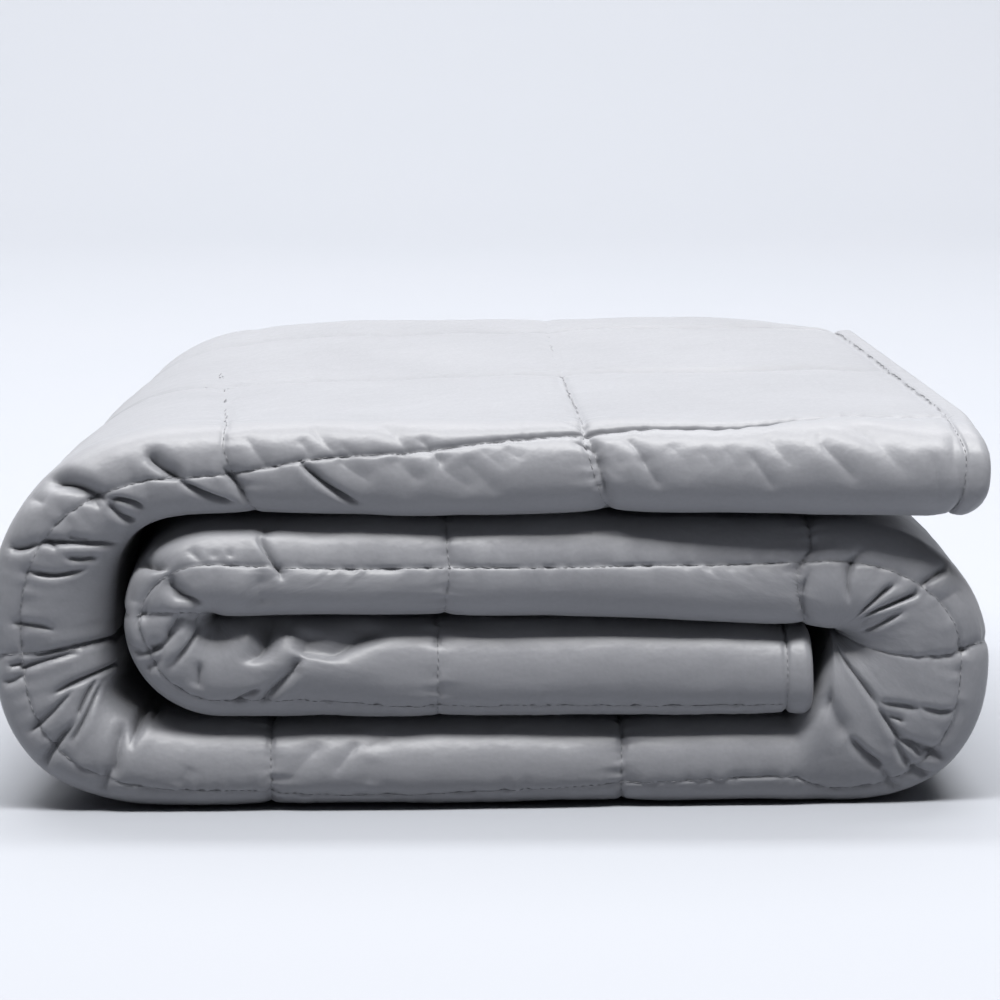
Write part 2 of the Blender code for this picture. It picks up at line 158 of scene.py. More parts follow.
# Main creases, in millimetres of cloth: where each starts and ends, along the strip from the inner
# hem and round its front fold from the outer shoulder, how far its middle bows to the side, how
# deep and wide its trough is, and how high the cloth stands beside it (below 0, on the other side).
# A separate program worked these rows out from places that were read by eye. They aren't designed.
Crease = namedtuple("Crease", "along round along_end round_end bow depth width lip")
OUTER_LEFT_FOLD = (
    Crease(1260, 9, 1276, 39, -1, 7, 4, -0.3),
    Crease(1276, 38, 1286, 54, 3, 6, 3, 0.3),
    Crease(1278, 37, 1293, 48, -1, 4.5, 2, -0.3),
    Crease(1299, 20, 1313, 36, 2, 7, 4, 0.3),
    Crease(1312, 36, 1337, 50, 1, 5, 2, -0.3),
    Crease(1233, 15, 1240, 29, 2, 4.5, 3, 0.3),
    Crease(1241, 30, 1268, 61, 3, 6, 3, 0.3),
    Crease(1241, 30, 1241, 38, -1, 3, 2, 0.25),
    Crease(1250, 38, 1255, 48, 1, 3, 2, 0.3),
    Crease(1240, 43, 1250, 56, 2, 4.5, 3, 0.3),
    Crease(1227, 28, 1241, 55, 5, 4.5, 2, 0.3),
    Crease(1269, 31, 1271, 40, 0, 1.5, 2, 0.25),
    Crease(1251, 9, 1254, 21, 0, 1.5, 4, 0.3),
    Crease(1203, 23, 1200, 45, -1, 3, 2, 0.25),
    Crease(1187, 31, 1184, 101, -5, 4, 2, 0.3),
    Crease(1182, 25, 1187, 57, -1, 5, 2, 0.3),
    Crease(1184, 20, 1185, 28, 0, 3, 2, 0.3),
    Crease(1178, 15, 1181, 29, 1, 3, 3, 0.3),
    Crease(1168, 37, 1165, 97, -4, 7, 3, 0.3),
    Crease(1145, 7, 1149, 41, 0, 6, 2, 0.3),
    Crease(1149, 41, 1168, 61, 1, 6, 2, 0.3),
    Crease(1144, 27, 1163, 62, 7, 5, 3, 0.3),
    Crease(1157, 17, 1167, 49, 2, 4, 2, 0.3),
    Crease(1120, 20, 1121, 51, 0, 5, 4, 0.3),
    Crease(1123, 9, 1122, 27, 0, 3, 3, 0.3),
    Crease(1115, 35, 1115, 99, 2, 6, 4, 0.3),
    Crease(1107, 54, 1108, 98, 1, 4, 3, 0.3),
)
INNER_LEFT_FOLD = (
    Crease(324, 4, 329, 27, 1, 5, 3, 0.3),
    Crease(329, 27, 332, 53, 6, 7, 4, 0.3),
    Crease(304, 9, 309, 48, 6, 4, 2, 0.3),
    Crease(303, 36, 314, 48, 1, 5, 3, 0.3),
    Crease(301, 25, 300, 32, 0, 3, 2, 0.3),
    Crease(294, 25, 323, 57, 13, 5, 2, -0.3),
    Crease(297, 14, 298, 31, 1, 3, 2, 0.25),
    Crease(280, 23, 283, 37, 0, 3, 3, 0.3),
    Crease(315, 12, 316, 26, 0, 1.5, 4, 0.3),
    Crease(314, 21, 313, 29, 1, 1.5, 4, 0.3),
    Crease(224, 77, 261, 36, -7, 7, 5, -0.3),
    Crease(216, 59, 228, 42, -1, 3, 5, 0.3),
    Crease(227, 43, 255, 14, 1, 5, 3, -0.3),
    Crease(194, 58, 221, 39, -2, 4, 7, -0.35),
    Crease(254, 24, 267, 15, 1, 3, 2, 0.25),
    Crease(364, 16, 382, 44, 2, 3, 2, 0.3),
    Crease(365, 10, 369, 16, 0, 1.5, 4, 0.3),
    Crease(391, 67, 362, 34, -1, 4, 6, -0.3),
    Crease(338, 23, 340, 31, 0, 1.5, 2, 0.3),
    Crease(345, 26, 345, 31, 0, 1.5, 2, 0.3),
    Crease(351, 26, 352, 30, 0, 1.5, 2, 0.3),
)
RIGHT_FOLD = (
    Crease(616, 34, 591, 70, 1, 4, 3, 0.3),
    Crease(640, 21, 642, 49, 5, 4, 3, -0.3),
    Crease(658, 33, 657, 57, 0, 6, 2, -0.3),
    Crease(673, 10, 669, 28, 0, 4, 2, -0.3),
    Crease(669, 28, 662, 58, -2, 6, 2, -0.3),
    Crease(675, 44, 691, 72, 2, 6, 3, -0.3),
    Crease(666, 57, 686, 70, 1, 3, 2, 0.25),
    Crease(681, 13, 679, 28, 0, 1.5, 4, 0.3),
    Crease(697, 27, 702, 23, 2, 2, 2, 0.25),
    Crease(769, 79, 756, 49, -4, 8, 4, 0.3),
    Crease(756, 49, 755, 30, 0, 7, 3, 0.3),
    Crease(755, 32, 750, 16, -1, 4.5, 2, 0.3),
    Crease(754, 31, 745, 8, -2, 4.5, 2, 0.3),
    Crease(757, 32, 756, 15, 1, 5, 2, 0.3),
    Crease(756, 16, 752, 4, 0, 5, 2, 0.3),
    Crease(752, 52, 735, 39, -2, 4, 3, -0.3),
    Crease(734, 39, 727, 23, 0, 3, 2, -0.3),
    Crease(753, 45, 747, 39, 0, 4, 3, 0.3),
    Crease(798, 59, 780, 37, -1, 5, 6, -0.3),
    Crease(780, 37, 766, 19, 0, 5, 3, -0.3),
    Crease(767, 20, 762, 2, 1, 3, 2, 0.3),
)
TOP_LAYER = (
    Crease(1498, 14, 1508, 60, -1, 4.5, 3, 0.3),
    Crease(1332, 30, 1342, 51, -1, 5, 3, 0.3),
    Crease(1341, 14, 1354, 34, 0, 1.1, 4, 0.3),
    Crease(1367, 28, 1395, 51, 2, 6, 2, 0.3),
    Crease(1366, 16, 1373, 27, 0, 1.1, 4, 0.3),
    Crease(1371, 8, 1385, 26, 1, 1.1, 4, 0.3),
    Crease(1383, 26, 1401, 40, 1, 1.6, 6, 0.3),
    Crease(1386, 19, 1393, 25, 1, 0.8, 3, 0.3),
    Crease(1404, 5, 1420, 27, 1, 1.4, 5, 0.3),
    Crease(1410, 25, 1423, 41, 1, 1.6, 5, 0.3),
    Crease(1405, 26, 1416, 49, -1, 1.1, 7, 0.3),
    Crease(1421, 15, 1433, 33, 0, 1.9, 4, 0.3),
    Crease(1427, 27, 1449, 45, 2, 1.9, 7, 0.3),
    Crease(1440, 28, 1458, 48, 0, 1.6, 6, 0.3),
    Crease(1448, 23, 1462, 36, 0, 0.8, 5, 0.3),
    Crease(1459, 24, 1470, 31, 0, 0.8, 5, 0.3),
    Crease(1485, -6, 1499, 8, 3, 0.8, 3, 0.3),
    Crease(1492, 20, 1503, 26, 0, 1.4, 3, 0.3),
    Crease(1502, 30, 1513, 41, 0, 0.8, 4, 0.3),
    Crease(1506, 25, 1515, 36, 0, 0.8, 5, 0.3),
    Crease(1515, 19, 1526, 37, -1, 1.4, 4, 0.3),
    Crease(1521, 29, 1532, 47, 0, 1.6, 4, 0.3),
    Crease(1534, 23, 1547, 41, -1, 0.8, 7, 0.3),
    Crease(1549, 26, 1558, 39, 0, 0.8, 5, 0.3),
    Crease(1560, 26, 1569, 40, 0, 0.8, 5, 0.3),
    Crease(1571, 28, 1584, 48, 0, 1.4, 4, 0.3),
    Crease(1578, 19, 1592, 37, 0, 1.1, 5, 0.3),
    Crease(1604, 24, 1622, 44, 0, 1.6, 4, 0.3),
    Crease(1603, 18, 1607, 27, 0, 0.8, 5, 0.3),
    Crease(1619, 11, 1646, 42, 0, 1.6, 6, 0.3),
    Crease(1625, 15, 1647, 29, -1, 0.8, 7, 0.3),
    Crease(1668, 13, 1665, 40, 1, 1.9, 4, 0.3),
    Crease(1655, 28, 1661, 54, 0, 1.4, 4, 0.3),
    Crease(1652, 48, 1666, 58, 0, 0.8, 5, 0.3),
)
BOTTOM_LAYER = (
    Crease(1024, 43, 1044, 16, 2, 1.4, 5, -0.3),
    Crease(1008, 44, 1021, 26, 0, 1.4, 4, -0.3),
    Crease(994, 46, 1007, 40, 0, 0.8, 5, 0.3),
    Crease(1003, 35, 1005, 21, 0, 0.8, 5, 0.3),
    Crease(1086, 31, 1092, 20, 0, 0.8, 5, 0.3),
)
CREASES = OUTER_LEFT_FOLD + INNER_LEFT_FOLD + RIGHT_FOLD + TOP_LAYER + BOTTOM_LAYER

# A crease as wide as SOFT_WIDTH is a soft trough. From there to SOFT_RANGE narrower, a growing part
# of it is a sharp V. Each fades to its ends, and its lip is highest at a share of its width.
SHARP_SHARE = 0.6
SHARP_REACH = 0.8
SHARP_ROUNDING = 0.3
SOFT_WIDTH = 5.0
SOFT_RANGE = 2.0
LIP_PLACE = 0.6
FADE_IN, FADE_IN_LEVEL = 0.3, 0.25
FADE_OUT, FADE_OUT_LEVEL = 0.35, 0.15

# The least share of its relief that a pinched fold keeps, and how the mesh is gathered to creases.
LEAST_ROOM = 0.35
GATHER_REACH = 4.0
GATHER = 0.68
GATHER_MARGIN_ROUND = 4
GATHER_MARGIN_ALONG = 8

# Mesh spacing along the strip, in millimetres: the front of the cloth is close everywhere, and the
# rest of it only beside the cross seams and the two ends.
RUN_SPACING = 1.9
FOLD_SPACING = 1.5
SEAM_SPACING = 1.2
SEAM_REACH = 4.0
END_REACH = 12.0
END_SPACING = 0.8
WIDE_SPACING = 5.2
CLOSE_BEFORE = 14.0
CLOSE_AFTER = 6.0
CURVE_SAMPLES = 121
SEAM_CROWDING = 0.45
TUCKED_EDGE = 30.0
FINE_STEP = 0.1
FOLD_MARGIN = 30

# How many points each part of a section's outer cloth has, from inside the back fold over the top
# ply to the lowest ply's hem. The close part lies above and below the seam of the front fold.
TUCKED_COUNT, SHOULDER_COUNT, FAR_COUNT, NEAR_COUNT = 10, 5, 16, 14
CLOSE_ABOVE, CLOSE_BELOW = 22, 46
LOWEST_COUNT = 9
CLOSE_FIRST = TUCKED_COUNT + SHOULDER_COUNT + FAR_COUNT + NEAR_COUNT
CLOSE_LAST = CLOSE_FIRST + CLOSE_ABOVE + CLOSE_BELOW

# Hem: a narrow turned and stitched band at the two ends.
HEM_WIDTH = 12.0
HEM_SHARE = 0.84
HEM_RISE = 14.0
HEM_TIP = 5.0
HEM_TIP_DEPTH = 4.0
LEAST_SHARE = 0.08
HEM_GROOVE = 2.2
HEM_GROOVE_WIDTH = 1.2

# A sewn channel: how much of its depth is sharp at the thread, and how far its sharp and its soft
# part reach, in channel widths. FRONT_BLEND is how far round a cross seam deepens to the front.
CHANNEL_SHARP = 0.6
CHANNEL_SHARP_REACH = 0.4
CHANNEL_SOFT_REACH = 2.5
FRONT_BLEND = 40
CROWN_POWER = 0.65
CROSSING_DEPTH = 1.6
CROSSING_REACH = 9.0

# Puckers that the thread draws beside a seam, with a shift that makes each seam's differ, and the
# cloth's unevenness in long and in short waves.
PUCKER_LENGTH = 3.4
PUCKER_REACH = 5.0
CROSS_PUCKER_SHIFT, ROW_PUCKER_SHIFT = 311, 97
PUCKER_SEED = 11
UNEVEN_LENGTH = 46.0
SHORT_UNEVEN_LENGTH = 15.0
SHORT_UNEVEN_SHARE = 0.3
UNEVEN_SEED = 29
NOISE_VALUES = 4096
NOISE_SIDE = 128

# Stitching thread: each stitch is three rings of corners, at shares of its length with its size
# there. Its line is read off the cloth at points this far apart, within this span round it.
STITCH_SIDES = 5
STITCH_LIFT = 0.7
STITCH_RINGS = ((0.0, 0.45), (0.5, 1.0), (1.0, 0.45))
LINE_STEP = 4.0
LINE_FIRST = -425.0
CROSS_LINE_LAST = 130.0
HEM_LINE_LAST = 420.0
NEAR_STATIONS = 6
NEAR_POINTS = 4

# Where the hidden lining's pattern runs, past the outer cloth's last place.
LINING_FIRST, LINING_LAST = 10, 400

# The floor and backdrop, in metres.
FLOOR_SIZE = 14.0
BACKDROP_AWAY = 3.2
BACKDROP_HEIGHT = 4.5
BACKDROP_BEND = 1.0
BEND_POINTS = 13

# Softboxes, in metres: where each hangs and points, its length and width, and its power's setting.
Softbox = namedtuple("Softbox", "name place target size setting")
SOFTBOXES = (
    Softbox("key", (0.1, -0.78, 2.4), (0.1, -0.4, 0), (2.4, 0.5), "key"),
    Softbox("overhead", (-0.3, 1.2, 2.6), (-0.3, 1.2, 0), (4.5, 3.2), "overhead"),
    Softbox("backdrop_light", (0, 1.2, 3.4), (0, 3.2, 0.8), (4.0, 1.0), "behind"),
)

# Materials, named for what the real ones are.
COTTON = "woven_cotton_sateen"
THREAD = "spun_polyester_thread"
PAPER = "seamless_matt_paper"


# ------------------------------------------------------------------ the winding


def stop_number(name):
    return [stop.name for stop in WINDING].index(name)


def column(name):
    return np.array([getattr(stop, name) for stop in WINDING], float)


def stop_before(at):
    """The stop that starts the stretch in which a stop number lies."""
    return np.clip(np.asarray(at, float).astype(int), 0, len(WINDING) - 2)


def ease(share):
    """0 to 1 with a level start and end."""
    share = np.clip(share, 0.0, 1.0)
    return share * share * (3 - 2 * share)


def middle_line(at, back):
    """The middle line's x, z and unit heading at a stop number, back being 0 in front, 1 behind."""
    first = stop_before(at)
    share = at - first
    left = 1 - share
    heading = np.radians(column("heading"))
    reach_out, reach_in = column("grip_out")[first], column("grip_in")[first + 1]
    place, slope = [], []
    for axis, turn in (("x", np.cos), ("z", np.sin)):
        front, shift = column(axis), column("back_" + axis)
        start = front[first] + back * shift[first]
        end = front[first + 1] + back * shift[first + 1]
        leave = start + reach_out * turn(heading[first])
        arrive = end - reach_in * turn(heading[first + 1])
        place.append(
            left**3 * start
            + 3 * left * left * share * leave
            + 3 * left * share * share * arrive
            + share**3 * end
        )
        slope.append(
            left * left * (leave - start)
            + 2 * left * share * (arrive - leave)
            + share * share * (end - arrive)
        )
    length = np.hypot(*slope)
    return place[0], place[1], slope[0] / length, slope[1] / length


def eased(name, at):
    """A column of the winding, eased from stop to stop."""
    values = column(name)
    first = stop_before(at)
    share = ease(at - first)
    return values[first] * (1 - share) + values[first + 1] * share


def length_table(samples=4001):
    """Stop numbers and the lengths along the middle line that they lie at, at the front."""
    at = np.linspace(0, len(WINDING) - 1, samples)
    x, z, _, _ = middle_line(at, np.zeros(samples))
    along = np.concatenate([[0.0], np.cumsum(np.hypot(np.diff(x), np.diff(z)))])
    return at, along


AT_TABLE, ALONG_TABLE = length_table()
STRIP_LENGTH = ALONG_TABLE[-1]


def at_along(along):
    return np.interp(along, ALONG_TABLE, AT_TABLE)


def along_past(name, past):
    return float(np.interp(stop_number(name), AT_TABLE, ALONG_TABLE)) + past


SEAMS_ALONG = [along_past(seam.after, seam.past) for seam in CROSS_SEAMS]


def inner_side(at, back):
    """The strip's inner side: square to the middle line, or drawn to the hub of a pinched fold."""
    x, z, dx, dz = middle_line(at, back)
    half = eased("in_half", at) + eased("sag", at) * np.sin(np.pi * back)
    side_x, side_z = x + half * dz, z - half * dx
    for hub in HUBS:
        first, last = stop_number(hub.first), stop_number(hub.last)
        drawn = ease((at - first) / DRAWN_BEFORE + 1) * ease((last - at) / DRAWN_AFTER + 1)
        hub_x, hub_z = hub.x + hub.back_x * back, hub.z
        away = np.hypot(x - hub_x, z - hub_z)
        rim_x = hub_x + hub.radius * (x - hub_x) / away
        rim_z = hub_z + hub.radius * (z - hub_z) / away
        side_x = side_x + drawn * (rim_x - side_x)
        side_z = side_z + drawn * (rim_z - side_z)
    return side_x, side_z


def inner_reach(at):
    """How far the strip's inner side lies from the middle line, at the front."""
    x, z, _, _ = middle_line(at, np.zeros_like(at))
    side_x, side_z = inner_side(at, np.zeros_like(at))
    return np.hypot(side_x - x, side_z - z)


def place_in_winding(at, depth, out):
    """The point in millimetres at a stop number, a depth and a distance out from the middle line."""
    at, depth, out = np.broadcast_arrays(at, depth, out)
    back = np.clip(depth / FOLDED_DEPTH, 0, 1)
    x, z, dx, dz = middle_line(at, back)
    side_x, side_z = inner_side(at, back)
    inward = np.clip(-out / inner_reach(at), 0, 1)
    outward = np.maximum(out, 0)
    point_x = x - outward * dz + inward * (side_x - x)
    point_z = z + outward * dx + inward * (side_z - z)
    return np.stack([point_x, depth - FOLDED_DEPTH / 2, point_z], -1)


# ------------------------------------------------------------------ the cloth's section


def ply_share(to_end):
    """How thick a ply is near a hemmed end: full, thinner at the hem's seam, and round at its tip."""
    body = HEM_SHARE + (1 - HEM_SHARE) * ease((to_end - HEM_WIDTH) / HEM_RISE)
    return max(LEAST_SHARE, float(body * tip_share(to_end)))


def tip_share(to_end):
    """The quarter circle of a hem's tip: 0 at the edge and 1 from its radius on."""
    return math.sqrt(1 - (1 - min(to_end / HEM_TIP, 1.0)) ** 2)


def hem_slant(at, depth, out):
    """The stop number for each point of a section: at the outer hem the front's corners end sooner."""
    along = float(np.interp(at, AT_TABLE, ALONG_TABLE))
    near_hem = ease(1 - (STRIP_LENGTH - along) / HEM_CORNER_REACH)
    reach = np.where(out > 0, eased("out_half", at), eased("in_half", at))
    corner = np.clip(np.abs(out) / reach, 0, 1) ** 3 * ease(1 - depth / HEM_CORNER_DEPTH)
    return at_along(along - HEM_CORNER * near_hem * corner)


def rounded_edge(start, end, apex, fullness, samples):
    """Points round an edge from start to end, both (depth, out), by way of its apex, with how full
    it is before the apex and after it."""
    turn = np.linspace(0, math.pi, samples)
    first = turn < math.pi / 2
    shoulder = np.where(first, start[0], end[0])
    half = np.where(first, start[1] - apex[1], apex[1] - end[1])
    fullness = np.where(first, *fullness)
    lean = np.sign(np.cos(turn)) * np.abs(np.cos(turn)) ** (2 / fullness)
    bulge = np.abs(np.sin(turn)) ** (2 / fullness)
    return np.stack([shoulder + (apex[0] - shoulder) * bulge, apex[1] + half * lean], -1)


def crowded(start, end, count, at_start=True, at_end=True):
    """Places from start up to, not including, end, set closer together beside a seam."""
    share = np.arange(count) / count
    if at_start and at_end:
        bend = -np.sin(2 * np.pi * share) / (2 * np.pi)
    elif at_start:
        bend = share * (share - 1)
    else:
        bend = share * (1 - share)
    return start + (end - start) * (share + SEAM_CROWDING * bend)


def front_fold(at, to_end, top, low, half):
    """Points round the front fold, from the top ply's outer face to the lowest ply's."""
    upward = float(middle_line(np.array(at), np.array(0.0))[2])
    sideways = 1 - abs(upward)
    top_shoulder = FRONT_FOLD_DEPTH + FRONT_FOLD_LEAN * upward
    low_shoulder = FRONT_FOLD_DEPTH - FRONT_FOLD_LEAN * upward + SIDE_INNER_DEPTH * sideways
    tip = HEM_TIP_DEPTH * (1 - tip_share(to_end))
    forward = float(eased("forward", at))
    apex = (tip - forward, (top + low) / 2 - FRONT_FOLD_DROP * upward)
    fullness = (
        FOLD_FULLNESS + (SIDE_FULLNESS - FOLD_FULLNESS) * sideways,
        FOLD_FULLNESS + (SIDE_INNER_FULLNESS - FOLD_FULLNESS) * sideways,
    )
    return rounded_edge(
        (top_shoulder, top + half), (low_shoulder, low - half), apex, fullness, CURVE_SAMPLES
    )


def slit_lining(top, middle, low, ply, half):
    """The plies' edges and the slits between them, as (depth, out), from the lowest ply's hem back
    to the inside of the back fold."""
    hem_back = FOLDED_DEPTH - OUTER_EDGE_SETBACK
    back = FOLDED_DEPTH
    edge = EDGE_SHARE * half
    slit_front = min(ply + SLIT_WALL, FRONT_FOLD_DEPTH)
    slit_back = FOLDED_DEPTH - BACK_FOLD_DEPTH - ply / 2
    tucked = INNER_EDGE_DEPTH + HEM_WIDTH
    return [
        (hem_back, low - edge), (hem_back, low + edge), (hem_back - EDGE_ROUND, low + half),
        (back / 2, low + half), (slit_front + SLIT_SHOULDER, low + half),
        (slit_front + SLIT_POINT, low + half), (slit_front, middle),
        (slit_front + SLIT_POINT, top - half), (slit_front + SLIT_SHOULDER, top - half),
        (back / 2, top - half), (slit_back - SLIT_POINT, top - half),
        (slit_back, (top + middle) / 2), (slit_back - SLIT_POINT, middle + half),
        (back / 2, middle + half), (tucked, middle + half),
        (INNER_EDGE_DEPTH, middle + edge), (INNER_EDGE_DEPTH, middle - edge),
        (tucked, middle - half), (back / 2, middle - half),
    ]


def section(along):
    """One section of the strip: its points as (depth, out), with the place round the section of
    those on the outer cloth. The outer cloth runs from inside the back fold over the top ply,
    round the front fold and along the lowest ply to its hem; the rest lines the slits."""
    at = float(at_along(along))
    outer, inner = float(eased("out_half", at)), float(inner_reach(np.array(at)))
    ply = (outer + inner - (PLIES - 1) * PLY_GAP) / PLIES
    to_end = min(along, STRIP_LENGTH - along)
    half = ply * ply_share(to_end) / 2
    top, middle, low = (outer - ply / 2 - count * (ply + PLY_GAP) for count in range(PLIES))
    back_shoulder = FOLDED_DEPTH - BACK_FOLD_DEPTH
    front = front_fold(at, to_end, top, low, half)
    behind = rounded_edge(
        (back_shoulder, middle - half), (back_shoulder, top + half),
        (FOLDED_DEPTH, (top + middle) / 2), (FOLD_FULLNESS, FOLD_FULLNESS), CURVE_SAMPLES // 2,
    )
    inside = (back_shoulder - TUCKED_EDGE, middle - half)
    hem = (FOLDED_DEPTH - OUTER_EDGE_SETBACK - EDGE_ROUND, low - half)
    curve = np.vstack([[inside], behind, front, [hem]])
    length = np.concatenate([[0.0], np.cumsum(np.hypot(*np.diff(curve, axis=0).T))])
    round_place = length - length[1 + len(behind)]
    seam = float(eased("seam_at", at)) + SQUARE * np.arange(-2, 1)
    shoulder_behind = round_place[len(behind)]
    close_start = min(-CLOSE_BEFORE, seam[2] - CLOSE_BEFORE)
    close_end = round_place[len(behind) + len(front)] + CLOSE_AFTER
    around = np.concatenate([
        crowded(round_place[0], shoulder_behind, TUCKED_COUNT, False, False),
        crowded(shoulder_behind, seam[0], SHOULDER_COUNT, False, True),
        crowded(seam[0], seam[1], FAR_COUNT),
        crowded(seam[1], close_start, NEAR_COUNT, True, False),
        crowded(close_start, seam[2], CLOSE_ABOVE, False, True),
        crowded(seam[2], close_end, CLOSE_BELOW, True, False),
        np.linspace(close_end, round_place[-1], LOWEST_COUNT),
    ])
    outer_cloth = np.stack([np.interp(around, round_place, curve[:, k]) for k in (0, 1)], -1)
    return np.vstack([outer_cloth, slit_lining(top, middle, low, ply, half)]), around


def stations():
    """Places along the strip, and which of them the widely spaced part of the cloth has too."""
    fine = np.arange(0.0, STRIP_LENGTH, FINE_STEP)
    spacing = np.full(len(fine), RUN_SPACING)
    for first, last in FOLDS:
        start, end = along_past(first, -FOLD_MARGIN), along_past(last, FOLD_MARGIN)
        spacing[(fine > start) & (fine < end)] = FOLD_SPACING
    beside = np.zeros(len(fine), bool)
    for seam in SEAMS_ALONG:
        beside |= np.abs(fine - seam) < SEAM_REACH
    spacing[beside] = SEAM_SPACING
    near_end = np.minimum(fine, STRIP_LENGTH - fine) < END_REACH
    spacing[near_end] = END_SPACING
    steps = np.concatenate([[0.0], np.cumsum(FINE_STEP / spacing)])
    places = np.append(fine, STRIP_LENGTH)
    count = int(round(steps[-1]))
    along = np.interp(np.linspace(0, steps[-1], count + 1), steps, places)
    kept = [0]
    close = np.interp(along, fine, beside | near_end) > 0.5
    for number in range(1, count):
        if close[number] or along[number] - along[kept[-1]] >= WIDE_SPACING:
            kept.append(number)
    return along, np.array([*kept, count])


# ------------------------------------------------------------------ quilting, creases, unevenness


def smooth_noise(place, length, seed):
    """Values from -1 to 1 that change smoothly over a length, the same on each run."""
    values = np.random.default_rng(seed).uniform(-1, 1, NOISE_VALUES)
    scaled = np.asarray(place) / length
    first = np.floor(scaled).astype(int)
    share = ease(scaled - first)
    after = (first + 1) % NOISE_VALUES
    return values[first % NOISE_VALUES] * (1 - share) + values[after] * share


def smooth_noise_2d(along, around, length, seed):
    """The same over the cloth's surface."""
    size = NOISE_SIDE
    values = np.random.default_rng(seed).uniform(-1, 1, (size, size))
    u, v = along / length, around / length
    i, j = np.floor(u).astype(int), np.floor(v).astype(int)
    f, g = ease(u - i), ease(v - j)
    low = values[i % size, j % size] * (1 - f) + values[(i + 1) % size, j % size] * f
    high = values[i % size, (j + 1) % size] * (1 - f) + values[(i + 1) % size, (j + 1) % size] * f
    return low * (1 - g) + high * g


def from_thread(away):
    """A distance from a line, rounded off close to it."""
    return np.hypot(away, SHARP_ROUNDING) - SHARP_ROUNDING


def channel(away, width):
    """The profile of a sewn channel: sharp at the thread and rounding out to the puff."""
    sharp = np.exp(-from_thread(away) / (CHANNEL_SHARP_REACH * width))
    soft = np.exp(-away / (CHANNEL_SOFT_REACH * width))
    return CHANNEL_SHARP * sharp + (1 - CHANNEL_SHARP) * soft


def crown_share(low, high, place):
    """How high a puff stands between two seams: 0 on a seam and 1 half way."""
    return np.sin(np.pi * np.clip((place - low) / (high - low), 0, 1))


def cross_seam_places(around):
    """Where each cross seam lies along the strip at places round the section."""
    lean = np.array([seam.lean for seam in CROSS_SEAMS])
    top_lean = np.array([seam.top_lean for seam in CROSS_SEAMS])
    down = np.clip(around[..., None] - LEAN_START, 0, LEAN_REACH) / LEAN_RUN
    over = np.clip(-around[..., None], 0, TOP_LEAN_REACH) / TOP_LEAN_RUN
    return np.array(SEAMS_ALONG) + lean * down + top_lean * over


def quilting_height(along, around, at, sizes):
    """How high the cloth lies by the seams around it: at or below 0, the top of a puff, but for
    the puckers."""
    cross = cross_seam_places(around)
    ends = np.concatenate([cross[..., :1] - SQUARE, cross, cross[..., -1:] + SQUARE], -1)
    k = np.clip((along[..., None] >= ends).sum(-1) - 1, 0, len(SEAMS_ALONG))
    before = np.take_along_axis(ends, k[..., None], -1)[..., 0]
    after = np.take_along_axis(ends, k[..., None] + 1, -1)[..., 0]
    first, last = k == 0, k == len(SEAMS_ALONG)
    nearest = np.where((along - before < after - along) & ~first | last, k - 1, k)
    to_cross = np.minimum(
        np.where(first, SQUARE, along - before), np.where(last, SQUARE, after - along)
    )
    seam_round = eased("seam_at", at)
    row = np.floor((around - seam_round) / SQUARE)
    low = seam_round + row * SQUARE
    to_row = np.minimum(around - low, low + SQUARE - around)
    to_row = np.where(around > seam_round + SQUARE / 2, SQUARE / 2, to_row)
    front = ease(around / FRONT_BLEND + 0.5)
    depth = np.array([seam.depth for seam in CROSS_SEAMS])[nearest]
    top_depth = np.array([seam.top_depth for seam in CROSS_SEAMS])[nearest]
    on_cross = channel(to_cross, sizes.channel_width) * (top_depth + (depth - top_depth) * front)
    sewn = eased("sewn", at)
    on_row = channel(to_row, sizes.channel_width) * sizes.channel_depth * sewn
    crossing = np.exp(-np.hypot(to_cross, to_row) / CROSSING_REACH)
    share = crown_share(before, after, along) * crown_share(low, low + SQUARE, around)
    crown = 1 - np.clip(share, 0, 1) ** CROWN_POWER
    pull_cross = smooth_noise(around + CROSS_PUCKER_SHIFT * k, PUCKER_LENGTH, PUCKER_SEED)
    pull_row = smooth_noise(along + ROW_PUCKER_SHIFT * row, PUCKER_LENGTH, PUCKER_SEED + 1)
    by_cross, by_row = np.exp(-to_cross / PUCKER_REACH), np.exp(-to_row / PUCKER_REACH)
    puckers = pull_cross * by_cross + pull_row * by_row
    drawn = np.maximum(on_cross, on_row) + CROSSING_DEPTH * crossing
    return sizes.pucker * puckers - drawn - sizes.crown * crown


def beside_crease(along, around, crease):
    """How far places lie to the side of a crease and past its ends, how strong the crease is
    there, and the direction square to it."""
    start = np.array([crease.along, crease.round], float)
    end = np.array([crease.along_end, crease.round_end], float)
    length = np.hypot(*(end - start))
    run = (end - start) / length
    side = np.array([-run[1], run[0]])
    place = np.stack([along - start[0], around - start[1]], -1)
    on, off = place @ run, place @ side
    share = np.clip(on / length, 0, 1)
    off = off - crease.bow * 4 * share * (1 - share)
    past = on - np.clip(on, 0, length)
    rising = ease(share / FADE_IN + FADE_IN_LEVEL)
    falling = ease((1 - share) / FADE_OUT + FADE_OUT_LEVEL)
    return off, past, rising * falling, side


def crease_height(along, around, crease):
    """One crease: a trough along a bowed line, sharp where it is narrow, with the cloth standing up
    on one side."""
    off, past, strength, _ = beside_crease(along, around, crease)
    away = np.hypot(off, past)
    soft = np.exp(-((away / crease.width) ** 2))
    sharp = np.exp(-from_thread(away) / SHARP_REACH)
    lip_place = np.maximum(np.sign(crease.lip) * off, 0) / (LIP_PLACE * crease.width)
    lip = abs(crease.lip) * lip_place * np.exp(1 - lip_place - (past / crease.width) ** 2)
    sharpness = SHARP_SHARE * np.clip((SOFT_WIDTH - crease.width) / SOFT_RANGE, 0, 1)
    trough = (1 - sharpness) * soft + sharpness * sharp
    return crease.depth * strength * (lip - trough)


